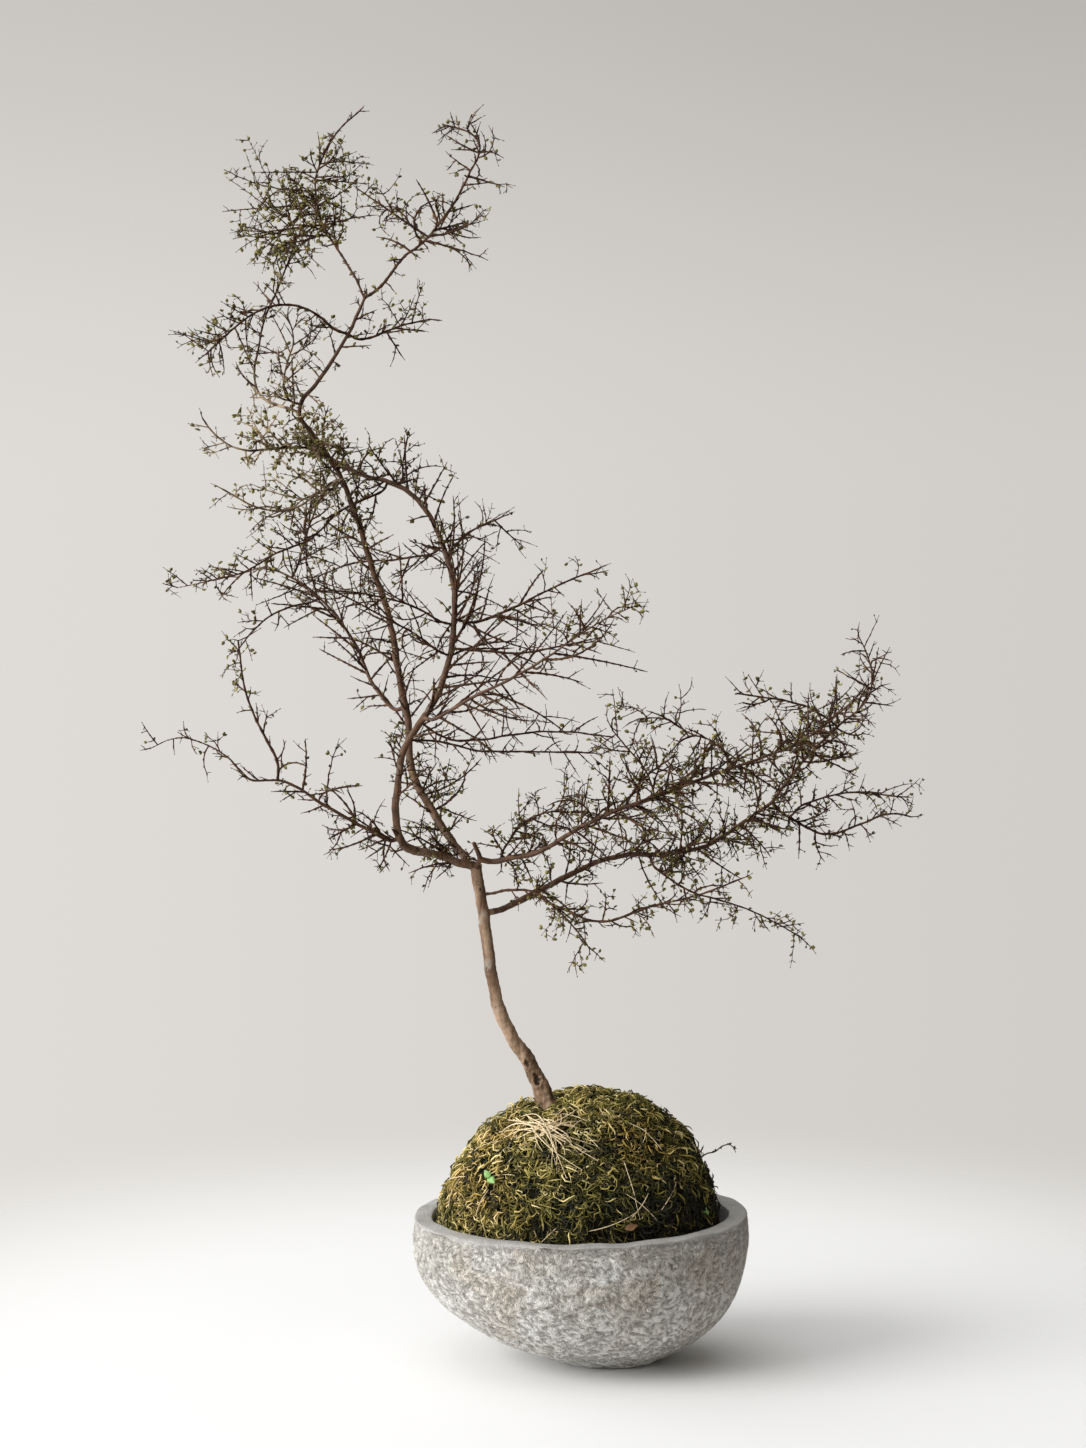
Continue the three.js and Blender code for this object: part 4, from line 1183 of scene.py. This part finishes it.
# How each limb bears twigs, in stretches along it from its base (0) to its tip (1):
# (from, to, twigs per centimetre, length, branching, leafiness, lean to the right, lean upwards)
PLAIN_HABIT = [(0.08, 1.0, 1.0, 0.9, 0.7, 0.3, 0, 0)]
HABITS = {
    "left_limb": [
        (0.1, 0.55, 1.5, 0.6, 0.8, 0.25, -0.4, 0.3), (0.55, 1.0, 1.3, 0.8, 0.8, 0.25, -0.4, -0.2),
    ],
    "curved_leader": [
        (0.08, 0.3, 0.7, 1.0, 0.5, 0.1, -0.2, 0.1), (0.3, 0.42, 1.5, 1.9, 0.25, 0.04, 1.0, -0.1),
        (0.42, 0.6, 1.5, 1.5, 0.4, 0.08, 0.7, 0), (0.6, 0.8, 1.5, 1.0, 0.6, 0.25, 0.3, 0.2),
        (0.8, 1.0, 1.7, 0.8, 0.9, 0.5, 0.2, 0.3),
    ],
    "back_leader": [
        (0.06, 0.32, 2.0, 0.8, 0.9, 0.55, 0.1, 0), (0.35, 0.45, 1.4, 1.2, 0.3, 0.06, 0.7, 0),
        (0.45, 0.8, 1.3, 0.9, 0.5, 0.2, -0.3, 0.1), (0.8, 1.0, 1.7, 0.9, 1.0, 0.7, 0, 0),
    ],
    "top_leader": [(0.0, 0.3, 2.0, 0.65, 1.0, 0.8, -0.3, 0.1), (0.3, 1.0, 1.0, 0.5, 0.7, 0.35, 0.2, 0)],
    "right_shoulder": [
        (0.05, 0.25, 1.7, 0.85, 0.9, 0.3, 0.2, 0.5), (0.25, 0.6, 2.7, 1.1, 0.9, 0.4, 0, 0.2),
        (0.6, 0.9, 2.2, 1.0, 0.9, 0.4, -0.3, 0.1), (0.9, 1.0, 1.6, 0.8, 0.7, 0.25, -0.8, 0),
    ],
    "right_low_limb": [
        (0.1, 0.3, 1.6, 0.8, 0.9, 0.4, 0.3, 0.2), (0.3, 0.8, 2.7, 1.05, 0.9, 0.5, 0.2, 0.1),
        (0.8, 0.95, 2.0, 0.95, 0.7, 0.25, -0.5, 0), (0.95, 1.0, 1.8, 0.7, 0.3, 0.15, 0, 0),
    ],
    "low_left_sweep": [
        (0.03, 0.35, 1.5, 0.8, 0.7, 0.2, 0, -0.3), (0.35, 1.0, 0.95, 0.5, 0.7, 0.35, -0.5, 0.1),
    ],
    "left_riser": [(0.05, 0.5, 0.7, 0.6, 0.5, 0.15, 0.2, 0.3), (0.5, 1.0, 1.3, 0.45, 0.8, 0.8, -0.3, 0.1)],
    "top_left_fork": [
        (0.05, 0.26, 0.7, 0.3, 0.7, 0.6, 0, 0), (0.26, 0.5, 3.0, 0.9, 1.0, 0.85, -0.3, 0.1),
        (0.5, 0.7, 3.0, 0.8, 1.0, 0.7, -0.1, -0.1), (0.7, 1.0, 1.1, 0.2, 0.2, 0.1, 0, 0.3),
    ],
    "left_column": [(0.1, 0.62, 1.1, 0.5, 0.6, 0.35, 0, 0), (0.66, 1.0, 2.2, 0.7, 1.0, 0.8, -0.2, 0.3)],
    "top_right_fork": [
        (0.05, 0.36, 1.0, 0.3, 0.6, 0.9, 0, 0.1), (0.34, 0.48, 2.0, 0.5, 0.9, 0.5, -0.6, 0.2),
        (0.36, 0.48, 1.6, 0.5, 0.9, 0.5, 0.6, 0.1), (0.5, 0.8, 1.2, 0.45, 0.5, 0.2, 0, 0),
        (0.8, 1.0, 1.8, 0.5, 0.7, 0.3, 0.7, -0.1), (0.8, 1.0, 1.4, 0.4, 0.7, 0.3, -0.6, 0),
    ],
    "left_arm": [(0.1, 0.45, 0.8, 0.35, 0.5, 0.3, 0, 0), (0.45, 1.0, 2.6, 0.7, 0.8, 0.55, -0.5, 0)],
    "right_arm": [(0.1, 0.35, 1.3, 0.4, 0.6, 0.4, 0, 0), (0.35, 1.0, 1.9, 0.6, 0.8, 0.4, 0.5, 0.1)],
    "inner_sprout": [(0.0, 1.0, 1.8, 0.8, 0.7, 0.4, 0, 0)],
    "dense_crown_branch": [
        (0.0, 0.5, 2.6, 0.75, 1.0, 0.8, 0.1, 0.3), (0.5, 1.0, 1.0, 0.5, 0.8, 0.5, -0.8, 0),
    ],
    "low_crown_branch": [(0.0, 0.5, 2.0, 0.9, 0.8, 0.6, 0.3, 0), (0.5, 1.0, 0.9, 0.6, 0.7, 0.6, -0.4, 0)],
    "crown_twig": [(0.0, 1.0, 1.3, 0.5, 0.7, 0.3, 0, 0.4)],
    "mid_left_limb": [
        (0.05, 0.55, 1.4, 1.2, 0.3, 0.12, -0.7, 0), (0.55, 1.0, 1.3, 0.6, 0.7, 0.45, -0.4, 0),
    ],
    "mid_left_riser": [(0.0, 1.0, 1.5, 0.8, 0.8, 0.4, 0, 0)],
    "hook_branch": [(0.05, 1.0, 0.8, 0.4, 0.6, 0.4, -0.3, 0.1)],
    "long_left_drooper": [
        (0.0, 0.6, 1.0, 0.75, 0.7, 0.4, -0.1, 0), (0.6, 1.0, 1.5, 0.5, 0.8, 0.6, -0.4, 0.1),
    ],
    "low_spreader": [(0.0, 1.0, 1.6, 0.6, 0.3, 0.05, 0, 0)],
    "lower_spreader": [(0.0, 1.0, 1.6, 0.5, 0.3, 0.05, 0, 0.1)],
    "right_spreader": [(0.0, 0.9, 1.3, 1.0, 0.3, 0.04, 1.0, -0.1)],
    "upper_right_branch": [(0.0, 0.6, 1.5, 1.3, 0.5, 0.12, 0.7, 0), (0.6, 1.0, 1.4, 0.6, 0.6, 0.3, 0.6, 0)],
    "right_limb": [(0.0, 0.7, 1.2, 1.6, 0.3, 0.06, 1.0, -0.1), (0.7, 1.0, 2.4, 0.7, 0.8, 0.7, 0.3, 0.1)],
    "leader_left_twig": [(0.0, 1.0, 1.3, 1.0, 0.5, 0.2, -0.5, 0)],
    "lower_left_twig": [(0.0, 1.0, 1.3, 1.0, 0.5, 0.2, -0.5, 0)],
    "crossing_twig": [(0.0, 1.0, 1.3, 1.0, 0.5, 0.2, -0.3, 0)],
    "leader_right_twig": [(0.0, 1.0, 1.5, 0.8, 0.5, 0.15, 0.5, 0.2)],
    "high_arch": [(0.0, 1.0, 2.0, 0.8, 0.8, 0.35, -0.5, 0)],
    "shoulder_arch": [(0.0, 1.0, 2.3, 0.8, 0.9, 0.4, 0.3, 0)],
    "shoulder_riser": [(0.0, 1.0, 2.0, 0.8, 0.8, 0.3, -0.3, 0.1)],
    "top_fan": [(0.0, 1.0, 1.5, 0.55, 0.6, 0.25, -0.4, 0.1)],
    "right_tail": [(0.05, 1.0, 1.7, 0.6, 0.7, 0.3, 0.5, 0.3)],
    "tail_upper": [(0.05, 1.0, 1.9, 0.6, 0.7, 0.3, 0.7, 0)],
    "lowest_branch": [(0.05, 1.0, 1.5, 0.6, 0.8, 0.7, 0.4, 0)],
    "low_spray_branch": [(0.1, 1.0, 1.6, 0.65, 0.8, 0.6, 0.4, 0)],
    "low_thin_branch": [(0.25, 1.0, 2.0, 0.6, 0.9, 0.8, 0.1, -0.1)],
}


# Twigs that make the outline, by limb:
# (share along the limb, heading (right, back, up), length in millimetres, branching, leafiness)
SPRAYS = {
    "top_right_fork": [
        (0.40, (-1, 0.1, 0.72), 76, 1.0, 0.35), (0.37, (-1, -0.2, 0.62), 60, 1.0, 0.35),
        (0.3, (-0.8, 0, 0.7), 34, 0.8, 0.3), (0.47, (-0.35, 0, 1), 46, 0.2, 0.1),
        (0.4, (1, 0, -0.05), 62, 1.0, 0.35), (0.43, (1, 0.2, 0.15), 56, 1.0, 0.3),
        (0.38, (1, -0.3, -0.1), 58, 0.9, 0.3), (0.8, (-1, 0, 0.4), 34, 0.9, 0.3),
        (0.78, (1, 0, -0.1), 36, 0.9, 0.3), (0.72, (-1, 0.1, 0.5), 26, 0.8, 0.3),
        (0.7, (1, 0, -0.25), 34, 0.8, 0.2), (0.66, (1, 0.1, 0.1), 26, 0.8, 0.3),
        (0.22, (-0.6, 0, 0.6), 14, 0.8, 1.0), (0.3, (0.6, 0, -0.5), 12, 0.6, 1.0),
    ],
    "top_left_fork": [
        (0.58, (-1, 0.1, 0.02), 84, 0.9, 0.6), (0.66, (-1, -0.2, 0.02), 54, 0.9, 0.5),
        (0.5, (-1, 0, -0.05), 84, 0.9, 0.7), (0.4, (-1, -0.2, -0.12), 80, 0.9, 0.7),
        (0.34, (-1, 0.2, -0.2), 80, 0.9, 0.7), (0.5, (1, 0, 0.25), 48, 1.0, 0.6),
        (0.62, (1, 0.1, 0.05), 44, 1.0, 0.5), (0.4, (1, -0.2, 0.4), 50, 1.0, 0.6),
        (0.68, (0.8, 0, 0.3), 30, 0.8, 0.4),
    ],
    "left_column": [
        (0.95, (-1, 0, 0.2), 52, 1.0, 0.7), (0.85, (-1, 0.2, -0.1), 50, 0.9, 0.6),
        (0.9, (1, 0, 0.3), 40, 0.9, 0.6),
    ],
    "back_leader": [
        (0.12, (-1, -0.1, 0.2), 40, 1.0, 0.7), (0.16, (-0.9, 0.2, 0.5), 36, 1.0, 0.7),
        (0.18, (1, 0, 0.35), 56, 0.9, 0.4), (0.22, (1, 0.2, 0.1), 60, 0.8, 0.3),
        (0.25, (-1, 0, 0.3), 30, 0.9, 0.6),
    ],
    "left_limb": [
        (0.3, (-1, 0, 0.9), 60, 0.3, 0.1), (0.2, (-0.8, -0.2, 0.6), 40, 0.8, 0.3),
        (0.25, (0.9, 0, 0.6), 40, 0.9, 0.4), (0.2, (-1, 0.1, 0.25), 46, 1.0, 0.5),
        (0.24, (-1, -0.2, 0.1), 42, 1.0, 0.5), (0.28, (-0.9, 0, 0.35), 34, 1.0, 0.5),
    ],
    "low_left_sweep": [
        (0.2, (-0.3, 0, 1), 50, 0.5, 0.2), (0.32, (-0.2, 0.1, 1), 62, 0.5, 0.2),
        (0.42, (0.3, 0, 1), 48, 0.5, 0.2), (0.12, (-0.7, 0, -0.5), 44, 1.0, 0.3),
        (0.2, (-0.9, 0.1, -0.45), 40, 1.0, 0.3), (0.08, (-0.4, 0, -0.9), 30, 0.9, 0.3),
        (0.05, (-1, 0, 0.5), 52, 1.0, 0.4),
    ],
}


class Growth:
    """Twigs with their spurs, buds and leaves, grown by one seeded gardener."""

    def __init__(self, settings, rng):
        self.settings, self.rng = settings, rng
        self.routes, self.buds, self.leaves = [], [], []
        room = Vector((8 * MM, -3 * MM, 8 * MM))
        self.low, self.high = Vector(cad_box[0]) - room, Vector(cad_box[1]) + room

    def kept_in(self, point, heading):
        """Turns a heading back when a twig has grown as far as the tree's outline allows."""
        for axis in range(3):
            if point[axis] < self.low[axis] or point[axis] > self.high[axis]:
                inward = 1 if point[axis] < self.low[axis] else -1
                heading[axis] = inward * max(0.25, abs(heading[axis]))
        return heading.normalized()

    def sideways(self, heading):
        """A random direction square to a heading."""
        other = Vector(self.rng.normal(size=3))
        return (other - heading * other.dot(heading)).normalized()

    def spur(self, point, heading, way, radius):
        """A short stiff side shoot that ends in a point."""
        reach = self.rng.uniform(2.0, 7.0) * MM
        lean = (way + heading * self.rng.uniform(0.1, 0.8)).normalized()
        bent = (lean + self.sideways(lean) * 0.25).normalized()
        middle = point + lean * reach * 0.5
        thick = min(radius, 0.46 * MM)
        end = middle + bent * reach * 0.5
        self.routes.append([(point, thick), (middle, thick * 0.85), (end, thick * 0.45)])
        return end, bent

    def clothe(self, point, heading, radius, branching, leafiness, side):
        """Spurs, buds and leaves at a node, in an opposite pair."""
        rng, cross = self.rng, heading.cross(side).normalized()
        for way in (side, -side):
            at, lean = point + way * radius * 0.6, (way + heading * 0.7).normalized()
            if rng.random() < 0.16 + 0.28 * branching:
                at, lean = self.spur(point, heading, way, radius)
            if rng.random() < leafiness * 0.75:
                for _ in range(rng.integers(1, 4 + (leafiness > 0.7))):
                    tilt = (lean + self.sideways(lean) * rng.uniform(0, 0.9)).normalized()
                    self.leaves.append((at, tilt, cross, rng.uniform(0.45, 1.05), leafiness))
            elif rng.random() < 0.4:
                self.buds.append((at, lean, cross, rng.uniform(0.6, 1.15)))

    def twig(self, start, heading, reach, radius, order, branching, leafiness):
        rng = self.rng
        steps = max(2, round(reach / (self.settings.node_spacing * rng.uniform(0.8, 1.2))))
        step, side = reach / steps, self.sideways(heading)
        arch_axis, arch = self.sideways(heading), rng.normal(0, 0.25 + 0.85 * branching) / steps
        zig = rng.uniform(0.02, 0.08 + 0.22 * branching)
        point, route = start, [(start, radius)]
        for number in range(1, steps + 1):
            t = number / steps
            bend = Quaternion(arch_axis, arch) @ Quaternion(side, zig if number % 2 else -zig)
            heading = self.kept_in(point, bend @ heading)
            stride = step * rng.uniform(0.8, 1.2)
            thin = radius * (1 - 0.55 * t)
            route.append((point + heading * stride * 0.55, thin))
            point = point + heading * stride
            route.append((point, thin * (1.4 if number < steps else 0.5)))
            if number == steps:
                self.buds.append((point - heading * 0.5 * MM, heading, side, rng.uniform(0.6, 1.0)))
                continue
            pair_side = side if number % 2 else heading.cross(side).normalized()
            for way in (pair_side, -pair_side):
                if order < 3 and rng.random() < (0, 0.27, 0.08)[order] * branching:
                    spread = rng.uniform(0.55, 1.3)
                    out = (heading * math.cos(spread) + way * math.sin(spread)).normalized()
                    left = min(reach * 0.65, reach * (1 - t) * rng.uniform(0.5, 1.1) + 8 * MM)
                    self.twig(point, out, left, max(0.47 * MM, thin * 0.88), order + 1, branching, leafiness)
            self.clothe(point, heading, thin, branching, leafiness, pair_side)
        self.routes.append(route)

    def spray(self, route, share, way, reach, branching, leafiness):
        """One twig of a given heading and length, from a place along a limb."""
        point, radius = route[round(share * (len(route) - 1))]
        thick = min(radius * 0.8, self.settings.twig_radius)
        self.twig(point, Vector(way).normalized(), reach * MM, thick, 1, branching, leafiness)

    def dress(self, route, zones):
        """Side twigs along a limb, and a thin end past its tip."""
        rng = self.rng
        lengths = [0.0]
        for (a, _), (b, _) in zip(route, route[1:]):
            lengths.append(lengths[-1] + (b - a).length)
        turn = rng.uniform(0, 6.28)
        for first, last, per_cm, size, branching, leafiness, right, up in zones:
            travelled = lengths[-1] * first
            while travelled < lengths[-1] * last:
                index = max(1, next(i for i, s in enumerate(lengths) if s >= travelled))
                (a, _), (b, radius) = route[index - 1], route[index]
                heading = (b - a).normalized()
                side = Quaternion(heading, turn) @ heading.orthogonal().normalized()
                lean = Vector((right, 0, up))
                lean -= heading * lean.dot(heading)
                side = (side + lean * 1.3).normalized()
                spread = rng.uniform(0.6, 1.35)
                out = (heading * math.cos(spread) + side * math.sin(spread)).normalized()
                reach = self.settings.twig_length * size * rng.uniform(0.35, 1.25)
                thick = min(radius * 0.8, self.settings.twig_radius * (0.6 + 0.4 * min(1, reach / (40 * MM))))
                self.twig(b, out, reach, thick, 1, branching, leafiness)
                turn += math.pi + rng.normal(0, 0.7) if rng.random() < 0.5 else math.pi / 2
                travelled += 10 * MM / per_cm * rng.uniform(0.5, 1.5)
        (a, _), (b, radius) = route[-2], route[-1]
        self.twig(b, (b - a).normalized(), 18 * MM * zones[-1][3], radius * 0.85, 2, *zones[-1][4:6])


def leaf_template():
    """A small leaf, one unit long: a flat lens that ends in two points, folded and cupped."""
    bm = bmesh.new()
    bmesh.ops.create_icosphere(bm, subdivisions=1, radius=0.5)
    bmesh.ops.rotate(bm, verts=bm.verts, matrix=Matrix.Rotation(math.pi / 2, 3, "Y"))
    for vert in bm.verts:
        t, side = vert.co.x + 0.5, vert.co.y * 0.64
        vert.co = Vector((t, side, vert.co.z * 0.12 + abs(side) * 0.35 + 0.22 * t * (1 - t)))
    return mark_along(mesh_from(bm, "leaf"))


def bud_template():
    """A stubby bud, one unit long, that tapers to its tip."""
    bm = bmesh.new()
    bmesh.ops.create_cone(bm, cap_ends=True, segments=5, radius1=0.3, radius2=0.14, depth=1)
    bmesh.ops.rotate(bm, verts=bm.verts, matrix=Matrix.Rotation(math.pi / 2, 3, "Y"))
    bmesh.ops.translate(bm, verts=bm.verts, vec=(0.45, 0, 0))
    return mark_along(mesh_from(bm, "bud"))


def stamp_rows(name, template, rows, size, tone):
    """Copies of a template at rows of (place, heading, face, size share)."""
    at, heading, face, scale = [np.array([row[i] for row in rows]) for i in range(4)]
    matrices = frames_along(heading, face, size * scale, at)
    return stamp(name, [template], np.zeros(len(rows), int), matrices, tone=tone)


# The frame's leafy shoots by the part of the tree that they stand in.
LEAFY = {
    "crown_top": ("top_crown", "left_column", "right_crown"),
    "crown_arms": ("dense_crown", "low_crown"),
    "leaders": (),
    "left": ("mid_left",),
    "fan": ("right_limb",),
    "shoulder": ("shoulder",),
    "tail": ("low_limb", "low_spray", "tail"),
}

# Limbs by the part of the tree that they belong to, so that each part's twigs are one piece.
GROUPS = {
    "crown_top": ["top_leader", "top_right_fork", "top_left_fork", "left_column"],
    "crown_arms": [
        "left_arm", "right_arm", "inner_sprout", "dense_crown_branch", "low_crown_branch", "crown_twig",
        "long_left_drooper",
    ],
    "leaders": [
        "back_leader", "curved_leader", "leader_right_twig", "crossing_twig", "leader_left_twig",
        "lower_left_twig",
    ],
    "left": ["left_limb", "low_left_sweep", "left_riser", "mid_left_limb", "mid_left_riser", "hook_branch"],
    "fan": ["right_limb", "upper_right_branch", "right_spreader", "low_spreader", "lower_spreader"],
    "shoulder": ["right_shoulder", "shoulder_arch", "shoulder_riser", "high_arch", "top_fan"],
    "tail": [
        "right_low_limb", "right_tail", "tail_upper", "low_spray_branch", "lowest_branch", "low_thin_branch",
    ],
}


class KOKEDAMA_OT_twigs(bpy.types.Operator):
    """Grow the branches, the zig-zag twigs, their buds and the small leaves"""

    bl_idname = "kokedama.twigs"
    bl_label = "Twigs, buds and leaves"

    def execute(self, context):
        settings = context.scene.kokedama.tree
        tree = Tree()
        finish, buds, leaves = twig_finish(), bud_finish(), leaf_finish()
        bud, leaf = bud_template(), leaf_template()
        for seed, (group, limbs) in enumerate(GROUPS.items()):
            growth = Growth(settings, np.random.default_rng(100 + seed))
            for limb in limbs:
                growth.dress(tree.routes[limb], HABITS.get(limb, PLAIN_HABIT))
                for spray in SPRAYS.get(limb, ()):
                    growth.spray(tree.routes[limb], *spray)
            branches = [limb for limb in limbs if limb in BRANCHES]
            routes = [tree.routes[limb] for limb in branches]
            mesh = tubes(f"twigs_{group}", [*routes, *growth.routes])
            place(mesh.name, mesh, finish, branches)
            rng = np.random.default_rng(200 + seed)
            tone = rng.uniform(0, 1, len(growth.buds))
            mesh = stamp_rows(f"buds_{group}", bud, growth.buds, settings.bud_length, tone)
            place(mesh.name, mesh, buds, smooth=False)
            fresh = np.array([row[4] for row in growth.leaves])
            tone = np.clip(rng.normal(0.28 + 0.3 * fresh, 0.22), 0, 1)
            mesh = stamp_rows(f"leaves_{group}_dressed", leaf, growth.leaves, settings.leaf_length, tone)
            place(mesh.name, mesh, leaves, [f"leaves_{part}" for part in LEAFY[group]], smooth=False)
        return {"FINISHED"}


# ======== Stage ========


def floor_finish(stage):
    """A pale floor that fades out with its distance from the object."""
    finish = Finish("pale_floor", 0.85)
    finish.colour((*stage.floor_colour, 1))
    radius = finish.node("ShaderNodeVectorMath", {0: finish.where}, operation="LENGTH").outputs["Value"]
    fade = finish.remap(radius, stage.floor_solid, stage.floor_radius, interpolation_type="SMOOTHERSTEP")
    clear = finish.node("ShaderNodeBsdfTransparent", {}).outputs["BSDF"]
    finish.blend_shaders(fade, finish.shader.outputs["BSDF"], clear, "Material Output")
    return finish.material


def backdrop(stage):
    """A soft grey room: the eye sees the wall's colour, and the object gets the room's light."""
    world = bpy.data.worlds.new("soft_room")
    bpy.context.scene.world = world
    world.use_nodes = True
    nodes = Nodes(world.node_tree)
    where = nodes.node("ShaderNodeTexCoord", {}).outputs["Generated"]
    way = nodes.node("ShaderNodeSeparateXYZ", {0: where})

    def fade(axis, low, high, most=1):
        return nodes.remap(way.outputs[axis], low, high, 0, most, interpolation_type="SMOOTHSTEP")

    shade = nodes.plus(fade("X", -0.2, 0.2, 0.35), fade("Z", 0.0, 0.2, 0.6))
    wall = nodes.mix(shade, tuple(stage.wall_light), tuple(stage.wall_dark))
    seen = nodes.node("ShaderNodeBackground", {"Color": wall}).outputs["Background"]
    lit_side = tuple(channel * stage.window_side for channel in (0.985, 0.995, 1))
    far_side = tuple(channel * stage.far_side for channel in (1, 0.9, 0.74))
    room = nodes.tree.nodes["Background"]
    nodes.feed(room.inputs["Color"], nodes.mix(fade("X", -0.9, 0.42), lit_side, far_side))
    to_eye = nodes.node("ShaderNodeLightPath", {}).outputs["Is Camera Ray"]
    nodes.blend_shaders(to_eye, room.outputs["Background"], seen, "World Output")


def lamp(name, power, size, place_at, target, tint=(1, 1, 1)):
    data = bpy.data.lights.new(name, "AREA")
    data.energy, data.size, data.color = power, size, tint
    light = bpy.data.objects.new(name, data)
    light.location = place_at
    light.rotation_euler = (Vector(target) - Vector(place_at)).to_track_quat("-Z", "Y").to_euler()
    bpy.context.scene.collection.objects.link(light)


CAMERA_AT = (-0.0572, -2.806, 0.7614)  # in front, a little above the middle of the tree
CAMERA_DIP = 4.035  # degrees below level
CAMERA_LENS, CAMERA_SENSOR = 80, 36


class KOKEDAMA_OT_stage(bpy.types.Operator):
    """Set up the pale floor, the soft light and the camera"""

    bl_idname = "kokedama.stage"
    bl_label = "Stage"

    def execute(self, context):
        stage = context.scene.kokedama.stage
        bm = bmesh.new()
        bmesh.ops.create_circle(bm, cap_ends=True, segments=96, radius=stage.floor_radius)
        floor = bpy.data.objects.new("floor", mesh_from(bm, "floor"))
        floor.data.materials.append(floor_finish(stage))
        context.scene.collection.objects.link(floor)
        backdrop(stage)
        lamp("window", stage.key_power, 3.4, (-4.4, -1.7, 2.3), (0, 0, 0.4), (1, 0.995, 0.98))
        lamp("front_fill", stage.fill_power, 2.0, (1.2, -2.8, 2.2), (0, 0, 0.5))
        lamp("ceiling", stage.ceiling_power, 3.0, (0, -0.2, 3.0), (0, -0.2, 0))
        camera = bpy.data.cameras.new("camera")
        camera.lens, camera.sensor_width = CAMERA_LENS, CAMERA_SENSOR
        eye = bpy.data.objects.new("camera", camera)
        eye.location = CAMERA_AT
        eye.rotation_euler = (math.radians(90 - CAMERA_DIP), 0, 0)
        context.scene.collection.objects.link(eye)
        context.scene.camera = eye
        context.scene.view_settings.view_transform = "Standard"
        return {"FINISHED"}


# ======== Add-on ========

OPERATORS = (
    KOKEDAMA_OT_stage,
    KOKEDAMA_OT_bowl,
    KOKEDAMA_OT_moss,
    KOKEDAMA_OT_litter,
    KOKEDAMA_OT_limbs,
    KOKEDAMA_OT_twigs,
)


class KOKEDAMA_PT_panel(bpy.types.Panel):
    """Lists the kokedama's operators and settings"""

    bl_idname = "KOKEDAMA_PT_panel"
    bl_label = "Coprosma kokedama"
    bl_space_type = "VIEW_3D"
    bl_region_type = "UI"
    bl_category = "Kokedama"

    def draw(self, context):
        for operator in OPERATORS:
            self.layout.operator(operator.bl_idname)
        settings = context.scene.kokedama
        for group in (settings.stage, settings.bowl, settings.moss, settings.tree):
            box = self.layout.box()
            for name in group.__annotations__:
                box.prop(group, name)


SETTINGS = (StageSettings, BowlSettings, MossSettings, TreeSettings, KokedamaSettings)
CLASSES = (*SETTINGS, *OPERATORS, KOKEDAMA_PT_panel)


def register():
    for each in CLASSES:
        bpy.utils.register_class(each)
    bpy.types.Scene.kokedama = bpy.props.PointerProperty(type=KokedamaSettings)


def unregister():
    del bpy.types.Scene.kokedama
    for each in reversed(CLASSES):
        bpy.utils.unregister_class(each)


def main():
    register()
    for operator in OPERATORS:
        group, name = operator.bl_idname.split(".")
        getattr(getattr(bpy.ops, group), name)()
    bpy.context.view_layer.update()


if __name__ == "__main__":
    main()
